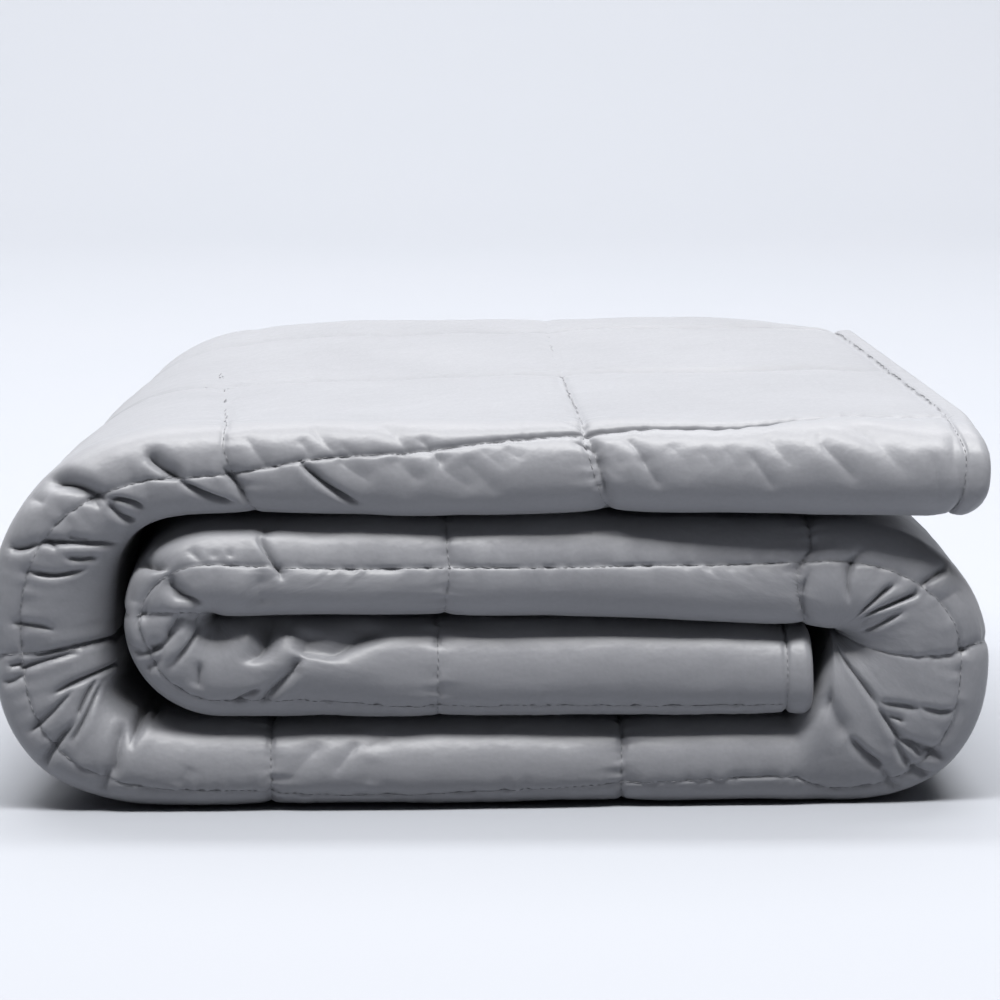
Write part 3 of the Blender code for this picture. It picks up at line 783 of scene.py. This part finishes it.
def gathered(along, around):
    """Grid places, as fractions of its rows and columns, drawn towards the creases so that the
    mesh is closest in them."""
    rows, columns = np.indices(around.shape).astype(float)
    pull, weight = np.zeros((2, *around.shape)), np.zeros(around.shape)
    for crease in CREASES:
        off, past, strength, side = beside_crease(along, around, crease)
        near = strength * np.exp(-(off**2 + past**2) / GATHER_REACH**2)
        pull -= near * off * side[:, None, None]
        weight += near
    pull *= GATHER / np.maximum(weight, 1)
    to_edge = np.minimum(columns - CLOSE_FIRST, CLOSE_LAST - 1 - columns)
    pull *= ease(to_edge / GATHER_MARGIN_ROUND)
    pull *= ease(np.minimum(rows, len(rows) - 1 - rows) / GATHER_MARGIN_ALONG)
    row_shift = pull[0] / np.gradient(along, axis=0)
    column_shift = pull[1] / np.gradient(around, axis=1)
    return rows + row_shift, columns + column_shift


def cubic_weights(share):
    """Weights of the four values round a place between the middle two, smooth through them all."""
    return (
        (-share + 2 * share**2 - share**3) / 2,
        (2 - 5 * share**2 + 3 * share**3) / 2,
        (share + 4 * share**2 - 3 * share**3) / 2,
        (-(share**2) + share**3) / 2,
    )


def between(values, rows, columns):
    """Values of a grid at fractions of its rows and columns."""
    row, column = np.floor(rows).astype(int), np.floor(columns).astype(int)
    total = 0.0
    for i, row_weight in enumerate(cubic_weights(rows - row)):
        for j, column_weight in enumerate(cubic_weights(columns - column)):
            near_row = np.clip(row + i - 1, 0, values.shape[0] - 1)
            near_column = np.clip(column + j - 1, 0, values.shape[1] - 1)
            share = (row_weight * column_weight).reshape(rows.shape + (1,) * (values.ndim - 2))
            total = total + share * values[near_row, near_column]
    return total


def cloth_height(along, around, at, sizes):
    """Height of the cloth above the section's plain outline, in millimetres."""
    height = quilting_height(along, around, at, sizes)
    for crease in CREASES:
        reach = 3 * crease.width + 3
        near = (
            (along > min(crease.along, crease.along_end) - reach)
            & (along < max(crease.along, crease.along_end) + reach)
            & (around > min(crease.round, crease.round_end) - reach)
            & (around < max(crease.round, crease.round_end) + reach)
        )
        height[near] += sizes.crease * crease_height(along[near], around[near], crease)
    height += sizes.uneven * smooth_noise_2d(along, around, UNEVEN_LENGTH, UNEVEN_SEED)
    short = smooth_noise_2d(along, around, SHORT_UNEVEN_LENGTH, UNEVEN_SEED + 1)
    height += SHORT_UNEVEN_SHARE * sizes.uneven * short
    return height


# ------------------------------------------------------------------ the cloth's surface

Sizes = namedtuple("Sizes", "crown channel_depth channel_width crease pucker uneven")
Surface = namedtuple("Surface", "along kept around points normals")


@lru_cache(maxsize=2)
def cloth_surface(sizes):
    """The whole cloth: its points and normals by station and by place round the section."""
    along, kept = stations()
    sections, rounds = zip(*(section(place) for place in along))
    around = np.array(rounds)
    points = []
    for place, outline in zip(along, sections):
        at = hem_slant(float(at_along(place)), outline[:, 0], outline[:, 1])
        points.append(place_in_winding(at, outline[:, 0], outline[:, 1]))
    points = np.array(points)
    outer_count = around.shape[1]
    cloth = points[:, :outer_count]
    by_along = np.gradient(cloth, along, axis=0)
    normals = np.cross(np.gradient(cloth, axis=1), by_along)
    grid = np.broadcast_to(along[:, None], around.shape)
    place = gathered(grid, around)
    grid, around, cloth, by_along, normals = (
        between(values, *place) for values in (grid, around, cloth, by_along, normals)
    )
    normals /= np.linalg.norm(normals, axis=-1, keepdims=True) + 1e-9
    height = cloth_height(grid, around, at_along(grid), sizes)
    # Where a fold is pinched together there is less room for relief.
    height *= np.clip(np.linalg.norm(by_along, axis=-1), LEAST_ROOM, 1.0)
    to_end = np.minimum(grid, STRIP_LENGTH - grid)
    height *= ease((to_end - HEM_WIDTH / 2) / (2 * HEM_WIDTH))
    height -= HEM_GROOVE * channel(np.abs(to_end - HEM_WIDTH), HEM_GROOVE_WIDTH)
    height *= ease((around - around[:, :1]) / TUCKED_EDGE)
    height *= ease((around[:, -1:] - around) / HEM_WIDTH)
    points[:, :outer_count] = cloth + normals * height[..., None]
    points[..., 2] = np.maximum(points[..., 2], 0.0)
    return Surface(grid, kept, around, points * MM, normals)


def mesh_object(name, points, faces, material_name):
    """A new smooth-shaded object of this mesh, in the scene's own collection."""
    mesh = bpy.data.meshes.new(name)
    mesh.from_pydata(points, [], faces)
    mesh.update()
    mesh.shade_smooth()
    mesh.materials.append(bpy.data.materials[material_name])
    thing = bpy.data.objects.new(name, mesh)
    bpy.context.scene.collection.objects.link(thing)
    return thing


def cloth_faces(number, kept):
    """The faces between stations: in the closely spaced part of the section, between each two
    stations; in the rest, between those kept; and along its two edges, one face to each pair kept
    with all the stations between them on its close side."""
    rows, ring = number.shape
    column = np.arange(ring)
    close = (column >= CLOSE_FIRST) & (column < CLOSE_LAST)
    after = np.roll(column, -1)
    inside, outside = close & (column < CLOSE_LAST - 1), ~close & ~close[after]
    faces = []
    for left, stations_of in ((inside, np.arange(rows)), (outside, kept)):
        low, high = stations_of[:-1, None], stations_of[1:, None]
        these, those = column[left][None], after[left][None]
        quads = (number[low, these], number[low, those], number[high, those], number[high, these])
        faces += np.stack(quads, -1).reshape(-1, 4).tolist()
    for wide, edge in ((CLOSE_FIRST - 1, CLOSE_FIRST), (CLOSE_LAST, CLOSE_LAST - 1)):
        for low, high in zip(kept[:-1], kept[1:]):
            face = [number[low, wide], *number[low : high + 1, edge], number[high, wide]]
            faces.append([int(corner) for corner in (face if wide < edge else face[::-1])])
    faces += [number[0, ::-1].tolist(), number[-1].tolist()]
    return faces


def make_cloth(sizes):
    """The blanket's cloth as one closed mesh, with its cloth measures as UVs in metres."""
    surface = cloth_surface(sizes)
    rows, ring = surface.points.shape[:2]
    used = np.zeros((rows, ring), bool)
    used[surface.kept] = True
    used[:, CLOSE_FIRST:CLOSE_LAST] = True
    number = np.full((rows, ring), -1)
    number[used] = np.arange(used.sum())
    faces = cloth_faces(number, surface.kept)
    cloth = mesh_object("blanket_cloth", surface.points[used].tolist(), faces, COTTON)
    if signed_volume(cloth.data) < 0:
        cloth.data.flip_normals()
    lining = ring - surface.around.shape[1]
    beyond = surface.around[:, -1:] + np.linspace(LINING_FIRST, LINING_LAST, lining)[None]
    around = np.hstack([surface.around, beyond])
    along = np.hstack([surface.along, np.repeat(surface.along[:, -1:], lining, 1)])
    uv = np.stack([along, around], -1)[used] * MM
    layer = cloth.data.uv_layers.new(name="cloth_metres")
    corners = np.empty(len(cloth.data.loops), np.int32)
    cloth.data.loops.foreach_get("vertex_index", corners)
    layer.uv.foreach_set("vector", uv[corners].astype(np.float32).ravel())
    return cloth


def signed_volume(mesh):
    mesh.calc_loop_triangles()
    corners = np.empty(len(mesh.loop_triangles) * 3, np.int32)
    mesh.loop_triangles.foreach_get("vertices", corners)
    places = np.empty(len(mesh.vertices) * 3, np.float32)
    mesh.vertices.foreach_get("co", places)
    triangles = places.reshape(-1, 3)[corners.reshape(-1, 3)].astype(float)
    return float(np.linalg.det(triangles).sum() / 6)


# ------------------------------------------------------------------ stitching


def on_surface(surface, along, around):
    """The point and normal of the cloth at a place along and round it."""
    low = np.searchsorted(surface.along[:, 0], along)
    first, last = max(low - NEAR_STATIONS, 0), min(low + NEAR_STATIONS, len(surface.along))
    rows, count = slice(first, last), surface.around.shape[1]
    away = np.hypot(surface.along[rows] - along, surface.around[rows] - around)
    nearest = np.argpartition(away.ravel(), NEAR_POINTS)[:NEAR_POINTS]
    weight = 1 / (away.ravel()[nearest] + 0.05) ** 2
    point, normal = (
        (values[rows, :count].reshape(-1, 3)[nearest] * weight[:, None]).sum(0) / weight.sum()
        for values in (surface.points, surface.normals)
    )
    return point, normal / (np.linalg.norm(normal) + 1e-9)


def stitch_run(surface, line, pitch, length):
    """Ends of the stitches along a line of (along, around) places, pitch apart."""
    line = np.array(line, float)
    places = np.array([on_surface(surface, *place)[0] for place in line]) / MM
    travelled = np.concatenate([[0], np.cumsum(np.linalg.norm(np.diff(places, axis=0), axis=1))])
    ends = []
    for start in np.arange(pitch / 2, travelled[-1] - pitch, pitch):
        pair = []
        for place in (start, start + length):
            spot = [np.interp(place, travelled, line[:, k]) for k in (0, 1)]
            pair.append(on_surface(surface, *spot))
        ends.append(pair)
    return ends


def thread_mesh(name, ends, radius):
    """One mesh of short rounded threads, one for each pair of ends."""
    points, faces = [], []
    for (start, normal), (end, _) in ends:
        forward = end - start
        size = np.linalg.norm(forward)
        if size < radius:
            continue
        forward /= size
        side = np.cross(normal, forward)
        side /= np.linalg.norm(side) + 1e-9
        lift = np.cross(forward, side)
        base = len(points)
        for share, swell in STITCH_RINGS:
            centre = start + forward * size * share + lift * radius * STITCH_LIFT * swell
            for corner in range(STITCH_SIDES):
                turn = 2 * math.pi * corner / STITCH_SIDES
                spoke = side * math.cos(turn) + lift * math.sin(turn)
                points.append(centre + spoke * radius * swell)
        for ring in range(len(STITCH_RINGS) - 1):
            for corner in range(STITCH_SIDES):
                after = (corner + 1) % STITCH_SIDES
                low, high = base + ring * STITCH_SIDES, base + (ring + 1) * STITCH_SIDES
                faces.append((low + corner, low + after, high + after, high + corner))
        faces.append(tuple(base + corner for corner in reversed(range(STITCH_SIDES))))
        last = base + (len(STITCH_RINGS) - 1) * STITCH_SIDES
        faces.append(tuple(last + corner for corner in range(STITCH_SIDES)))
    return mesh_object(name, points, faces, THREAD)


def lengthwise_lines():
    """The lengthwise seams of the outer cloth, as places along and round it."""
    along = np.arange(HEM_WIDTH, STRIP_LENGTH - HEM_WIDTH, LINE_STEP)
    seam = eased("seam_at", at_along(along))
    return [np.stack([along, seam + SQUARE * count], -1) for count in (-2, -1, 0, 1)]


def cross_lines():
    """The cross seams, from the back fold over the top ply and round the front fold."""
    around = np.arange(LINE_FIRST, CROSS_LINE_LAST, LINE_STEP)
    places = cross_seam_places(around)
    return [np.stack([places[:, k], around], -1) for k in range(len(CROSS_SEAMS))]


def hem_lines():
    """The stitched line inside each end's hem."""
    around = np.arange(LINE_FIRST, HEM_LINE_LAST, LINE_STEP)
    ends = (HEM_WIDTH, STRIP_LENGTH - HEM_WIDTH)
    return [np.stack([np.full(len(around), end), around], -1) for end in ends]


# ------------------------------------------------------------------ materials


def from_hex(text):
    """An sRGB hex colour as linear red, green, blue and full alpha."""
    parts = [int(text[k : k + 2], 16) / 255 for k in (1, 3, 5)]
    linear = [p / 12.92 if p <= 0.04045 else ((p + 0.055) / 1.055) ** 2.4 for p in parts]
    return (*linear, 1.0)


def add_node(nodes, links, kind, settings=(), **inputs):
    """A node with its settings; an input is a value, or a socket that is linked to it. Inputs are
    given by name, or as i and a number where a node has several of one name."""
    node = nodes.new(kind)
    for name, value in dict(settings).items():
        setattr(node, name, value)
    for name, value in inputs.items():
        numbered = name[1:].isdigit()
        socket = node.inputs[int(name[1:]) if numbered else name.replace("_", " ")]
        if isinstance(value, bpy.types.NodeSocket):
            links.new(value, socket)
        else:
            socket.default_value = value
    return node


def new_material(name):
    """An empty node material: its nodes, links and Principled shader."""
    made = bpy.data.materials.new(name)
    made.use_nodes = True
    nodes, links = made.node_tree.nodes, made.node_tree.links
    return made, nodes, links, nodes["Principled BSDF"]


# Blender's wave texture turns by 20 radians for each unit of its scaled coordinate.
WAVE_TURNS = 2 * math.pi / 20


def cotton_material(colours, cloth):
    """Cotton sateen, woven tight and smooth: matt in the hand, with a soft sheen at a low angle."""
    made, nodes, links, shader = new_material(COTTON)
    metres = add_node(nodes, links, "ShaderNodeUVMap", {"uv_map": "cloth_metres"}).outputs[0]
    mottle = add_node(
        nodes, links, "ShaderNodeTexNoise", Vector=metres, Scale=1 / (cloth.mottle * MM), Detail=3.0
    )
    yarn = add_node(
        nodes, links, "ShaderNodeTexNoise", Vector=metres, Scale=1 / (cloth.slub * MM), Detail=2.0
    )
    blend = add_node(
        nodes, links, "ShaderNodeMapRange",
        Value=mottle.outputs["Fac"], From_Min=0.3, From_Max=0.7, To_Min=0.0, To_Max=1.0,
    )
    shade = add_node(
        nodes, links, "ShaderNodeMix", {"data_type": "RGBA"},
        i0=blend.outputs[0], i6=colours.cotton_dark, i7=colours.cotton_light,
    )
    fine = add_node(
        nodes, links, "ShaderNodeMapRange",
        Value=yarn.outputs["Fac"], From_Min=0.3, From_Max=0.7, To_Min=0.96, To_Max=1.03,
    )
    tint = add_node(
        nodes, links, "ShaderNodeMix", {"data_type": "RGBA", "blend_type": "MULTIPLY"},
        i0=1.0, i6=shade.outputs[2], i7=fine.outputs[0],
    )
    links.new(tint.outputs[2], shader.inputs["Base Color"])
    rough = add_node(
        nodes, links, "ShaderNodeMapRange",
        Value=yarn.outputs["Fac"], From_Min=0.3, From_Max=0.7,
        To_Min=cloth.roughness - 0.04, To_Max=cloth.roughness + 0.04,
    )
    links.new(rough.outputs[0], shader.inputs["Roughness"])
    shader.inputs["Metallic"].default_value = 0.0
    shader.inputs["IOR"].default_value = 1.47
    shader.inputs["Sheen Weight"].default_value = cloth.sheen
    shader.inputs["Sheen Roughness"].default_value = 1.0
    shader.inputs["Sheen Tint"].default_value = colours.sheen
    # Warp and weft, drawn as faint soft bands far coarser than the real 0.3 mm yarns, which are too
    # fine to show. A wave repeats WAVE_TURNS / scale apart.
    height = None
    for direction in ("X", "Y"):
        threads = add_node(
            nodes, links, "ShaderNodeTexWave", {"bands_direction": direction},
            Vector=metres, Scale=WAVE_TURNS / (cloth.yarn * MM), Distortion=0.6, Detail=1.0,
        )
        bump = add_node(
            nodes, links, "ShaderNodeBump",
            Strength=0.08, Distance=0.1 * MM, Height=threads.outputs["Fac"],
        )
        if height is not None:
            links.new(height, bump.inputs["Normal"])
        height = bump.outputs[0]
    # Crinkles left by handling: small soft ones all over, and longer ones with a sharper ridge.
    crinkle = add_node(
        nodes, links, "ShaderNodeTexNoise",
        Vector=metres, Scale=1 / (cloth.crinkle * MM), Detail=3.0, Roughness=0.5,
    )
    soft = add_node(
        nodes, links, "ShaderNodeBump",
        Strength=0.6, Distance=0.9 * MM, Height=crinkle.outputs["Fac"], Normal=height,
    )
    ridges = add_node(
        nodes, links, "ShaderNodeTexNoise", {"noise_type": "RIDGED_MULTIFRACTAL"},
        Vector=metres, Scale=1 / (cloth.ridge * MM), Detail=2.0, Roughness=0.4,
    )
    last = add_node(
        nodes, links, "ShaderNodeBump",
        Strength=0.35, Distance=1.0 * MM, Height=ridges.outputs["Fac"], Normal=soft.outputs[0],
    )
    links.new(last.outputs[0], shader.inputs["Normal"])
    return made


def thread_material(colours, cloth):
    """Spun polyester sewing thread, a shade darker than the cotton, with the same soft shine; its
    darker colour is partly painted shade, standing for the shadow in each seam's groove.
    """
    made, nodes, links, shader = new_material(THREAD)
    place = add_node(nodes, links, "ShaderNodeTexCoord").outputs["Object"]
    twist = add_node(
        nodes, links, "ShaderNodeTexNoise", Vector=place, Scale=1 / (1.5 * MM), Detail=1.0
    )
    # Painted shade: the thread's darker colour also stands for the shadow in the seam's groove.
    shade = add_node(
        nodes, links, "ShaderNodeMix", {"data_type": "RGBA"},
        i0=twist.outputs["Fac"], i6=colours.thread, i7=colours.cotton_light,
    )
    links.new(shade.outputs[2], shader.inputs["Base Color"])
    shader.inputs["Roughness"].default_value = 0.5
    shader.inputs["IOR"].default_value = 1.5
    shader.inputs["Sheen Weight"].default_value = cloth.sheen
    shader.inputs["Sheen Roughness"].default_value = 1.0
    shader.inputs["Sheen Tint"].default_value = colours.sheen
    return made


def stage_material(colours, cloth):
    """Seamless paper, matt and pale."""
    made, nodes, links, shader = new_material(PAPER)
    place = add_node(nodes, links, "ShaderNodeTexCoord").outputs["Object"]
    pulp = add_node(nodes, links, "ShaderNodeTexNoise", Vector=place, Scale=3.0, Detail=2.0)
    shade = add_node(
        nodes, links, "ShaderNodeMix", {"data_type": "RGBA"},
        i0=pulp.outputs["Fac"], i6=colours.paper, i7=colours.paper_shade,
    )
    links.new(shade.outputs[2], shader.inputs["Base Color"])
    shader.inputs["Roughness"].default_value = 0.9
    return made


# ------------------------------------------------------------------ settings


def number(name, description, default, **kind):
    """A number setting, with its unit or subtype where one fits."""
    return FloatProperty(name=name, description=description, default=default, **kind)


class BlanketSizes(PropertyGroup):
    """Sizes of the quilting and the stitching, in millimetres."""

    crown: number("Crown", "Height of each puff in mm", 1.6)
    channel_depth: number("Channel depth", "Depth of the lengthwise channels in mm", 1.8)
    channel_width: number("Channel width", "Half width of the sewn channels in mm", 2.8)
    crease: number("Creases", "Strength of the main creases", 1.0, subtype="FACTOR")
    pucker: number("Puckers", "Height of the puckers beside a seam in mm", 0.9)
    uneven: number("Unevenness", "Slow waves of the cloth in mm", 0.8)
    stitch_pitch: number("Stitch pitch", "From one stitch to the next in mm", 3.6)
    stitch_length: number("Stitch length", "Length of thread that shows in mm", 2.7)
    thread: number("Thread", "Thread thickness in mm", 0.5)


class BlanketCloth(PropertyGroup):
    """How the cotton looks, with pattern sizes in millimetres."""

    roughness: number("Roughness", "Roughness of the cotton", 0.42, subtype="FACTOR")
    sheen: number("Sheen", "Soft shine at a low angle", 0.13, subtype="FACTOR")
    mottle: number("Mottling", "Size of the mottling in mm", 90.0)
    slub: number("Slub", "Size of the yarn's slubs in mm", 2.2)
    yarn: number("Yarn bands", "Spacing of the drawn yarn bands in mm", 5.6549)
    crinkle: number("Crinkle", "Size of the crinkles in mm", 12.0)
    ridge: number("Ridges", "Size of the longer crinkles in mm", 45.0)


def colour(name, description, text):
    """A colour setting with its default as an sRGB hex value."""
    return FloatVectorProperty(
        name=name, description=description, size=4, subtype="COLOR", default=from_hex(text)
    )


class BlanketColours(PropertyGroup):
    """Colours of the cloth, thread and stage."""

    cotton_light: colour("Cotton, light", "Cotton in its lighter places", "#78797E")
    cotton_dark: colour("Cotton, dark", "Cotton in its darker places", "#717277")
    sheen: colour("Sheen", "Colour of the cotton's sheen", "#FFFFFF")
    # The thread is darker than the cotton as painted shade: it stands for the shadow in the seams'
    # grooves as well as for the thread.
    thread: colour("Thread", "Sewing thread", "#5E5F63")
    paper: colour("Paper", "Floor and backdrop", "#9B9DA3")
    paper_shade: colour("Paper, shaded", "Floor and backdrop in their darker places", "#999CA2")


class BlanketStage(PropertyGroup):
    """Camera and lights."""

    lens: number("Lens", "Focal length in mm", 165.6)
    distance: number("Distance", "From the camera to its target", 2.097, unit="LENGTH")
    elevation: number(
        "Elevation", "How far the camera looks down", math.radians(9.5), subtype="ANGLE"
    )
    turn: number(
        "Turn", "How far the camera looks to the right", math.radians(2.05), subtype="ANGLE"
    )
    target: FloatVectorProperty(
        name="Target", description="The point that the camera looks at",
        size=3, subtype="TRANSLATION", default=(0.0034, -0.205, 0.145),
    )
    key: number("Key light", "Power of the long strip above and in front", 112.0, unit="POWER")
    overhead: number(
        "Overhead light", "Power of the wide softbox behind and above", 82.0, unit="POWER"
    )
    behind: number("Backdrop light", "Power of the light on the backdrop", 185.0, unit="POWER")
    fill: number("Fill", "Strength of the room's even light", 0.02)


GROUPS = {
    "blanket_sizes": BlanketSizes,
    "blanket_cloth": BlanketCloth,
    "blanket_colours": BlanketColours,
    "blanket_stage": BlanketStage,
}


# ------------------------------------------------------------------ operators


def surface_sizes(scene):
    settings = scene.blanket_sizes
    return Sizes(*(round(getattr(settings, name), 4) for name in Sizes._fields))


def make_stitches(scene, name, lines):
    """Stitches along these lines as one piece, riding with the blanket."""
    settings = scene.blanket_sizes
    surface = cloth_surface(surface_sizes(scene))
    ends = []
    for line in lines:
        ends += stitch_run(surface, line, settings.stitch_pitch, settings.stitch_length)
    piece = thread_mesh(name, ends, settings.thread / 2 * MM)
    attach(piece, "root")
    return piece


class BLANKET_OT_materials(Operator):
    """Make the cotton, thread and paper materials"""

    bl_idname = "blanket.materials"
    bl_label = "Materials"

    def execute(self, context):
        scene = context.scene
        for make in (cotton_material, thread_material, stage_material):
            make(scene.blanket_colours, scene.blanket_cloth)
        return {"FINISHED"}


class BLANKET_OT_cloth(Operator):
    """Make the folded, quilted cloth of the blanket"""

    bl_idname = "blanket.cloth"
    bl_label = "Cloth"

    def execute(self, context):
        cloth = make_cloth(surface_sizes(context.scene))
        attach(cloth, "root")
        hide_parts("weighted_blanket")
        return {"FINISHED"}


class BLANKET_OT_lengthwise_stitches(Operator):
    """Sew the lengthwise seams"""

    bl_idname = "blanket.lengthwise_stitches"
    bl_label = "Lengthwise stitches"

    def execute(self, context):
        make_stitches(context.scene, "lengthwise_stitches", lengthwise_lines())
        return {"FINISHED"}


class BLANKET_OT_cross_stitches(Operator):
    """Sew the cross seams"""

    bl_idname = "blanket.cross_stitches"
    bl_label = "Cross stitches"

    def execute(self, context):
        make_stitches(context.scene, "cross_stitches", cross_lines())
        return {"FINISHED"}


class BLANKET_OT_hem_stitches(Operator):
    """Sew the hems"""

    bl_idname = "blanket.hem_stitches"
    bl_label = "Hem stitches"

    def execute(self, context):
        make_stitches(context.scene, "hem_stitches", hem_lines())
        return {"FINISHED"}


def make_backdrop():
    """A floor that bends up into a backdrop, as one sheet of seamless paper."""
    floor_end = BACKDROP_AWAY - BACKDROP_BEND
    profile = [(-FLOOR_SIZE / 2, 0.0)]
    for turn in np.linspace(0, math.pi / 2, BEND_POINTS):
        profile.append(
            (floor_end + BACKDROP_BEND * math.sin(turn), BACKDROP_BEND * (1 - math.cos(turn)))
        )
    profile.append((BACKDROP_AWAY, BACKDROP_HEIGHT))
    points, faces = [], []
    for side in (-FLOOR_SIZE / 2, FLOOR_SIZE / 2):
        points += [(side, y, z) for y, z in profile]
    count = len(profile)
    for k in range(count - 1):
        faces.append((k, count + k, count + k + 1, k + 1))
    sheet = mesh_object("paper_sweep", points, faces, PAPER)
    return sheet


def add_light(softbox, power):
    lamp = bpy.data.lights.new(softbox.name, "AREA")
    lamp.shape = "RECTANGLE"
    lamp.size, lamp.size_y = softbox.size
    lamp.energy = power
    thing = bpy.data.objects.new(softbox.name, lamp)
    bpy.context.scene.collection.objects.link(thing)
    thing.location = softbox.place
    sight = Vector(softbox.target) - Vector(softbox.place)
    thing.rotation_euler = sight.to_track_quat("-Z", "Y").to_euler()
    return thing


def add_camera(stage):
    """The camera, looking along its line of sight at the target, with its sides level."""
    e, t = stage.elevation, stage.turn
    sight = Vector((math.sin(t) * math.cos(e), math.cos(t) * math.cos(e), -math.sin(e)))
    right = Vector((math.cos(t), -math.sin(t), 0.0))
    up = right.cross(sight)
    camera = bpy.data.cameras.new("camera")
    camera.lens = stage.lens
    camera.sensor_width = 36.0
    camera.clip_start, camera.clip_end = 0.05, 100.0
    thing = bpy.data.objects.new("camera", camera)
    bpy.context.scene.collection.objects.link(thing)
    turned = Matrix((right, up, -sight)).transposed().to_4x4()
    thing.matrix_world = Matrix.Translation(Vector(stage.target) - stage.distance * sight) @ turned
    bpy.context.scene.camera = thing
    return thing


class BLANKET_OT_stage(Operator):
    """Set up the floor, the lights and the camera"""

    bl_idname = "blanket.stage"
    bl_label = "Stage"

    def execute(self, context):
        stage = context.scene.blanket_stage
        make_backdrop()
        for softbox in SOFTBOXES:
            add_light(softbox, getattr(stage, softbox.setting))
        world = bpy.data.worlds.new("room")
        context.scene.world = world
        world.use_nodes = True
        background = world.node_tree.nodes["Background"]
        background.inputs["Color"].default_value = from_hex("#F6F6F6")
        background.inputs["Strength"].default_value = stage.fill
        context.scene.view_settings.view_transform = "Standard"
        add_camera(stage)
        return {"FINISHED"}


class BLANKET_PT_panel(Panel):
    """The blanket's pieces and their settings"""

    bl_label = "Folded blanket"
    bl_idname = "BLANKET_PT_panel"
    bl_space_type = "VIEW_3D"
    bl_region_type = "UI"
    bl_category = "Blanket"

    def draw(self, context):
        for step in STEPS:
            self.layout.operator(step.bl_idname)
        for group in GROUPS:
            box = self.layout.box()
            settings = getattr(context.scene, group)
            for name in type(settings).__annotations__:
                box.prop(settings, name)


STEPS = (
    BLANKET_OT_materials,
    BLANKET_OT_cloth,
    BLANKET_OT_lengthwise_stitches,
    BLANKET_OT_cross_stitches,
    BLANKET_OT_hem_stitches,
    BLANKET_OT_stage,
)
CLASSES = (*GROUPS.values(), *STEPS, BLANKET_PT_panel)


def register():
    for made in CLASSES:
        bpy.utils.register_class(made)
    for name, group in GROUPS.items():
        setattr(bpy.types.Scene, name, PointerProperty(type=group))


def unregister():
    for name in GROUPS:
        delattr(bpy.types.Scene, name)
    for made in reversed(CLASSES):
        bpy.utils.unregister_class(made)


def main():
    register()
    for step in STEPS:
        group, name = step.bl_idname.split(".")
        if getattr(getattr(bpy.ops, group), name)() != {"FINISHED"}:
            raise RuntimeError(f"{step.bl_label} did not finish")


if __name__ == "__main__":
    main()
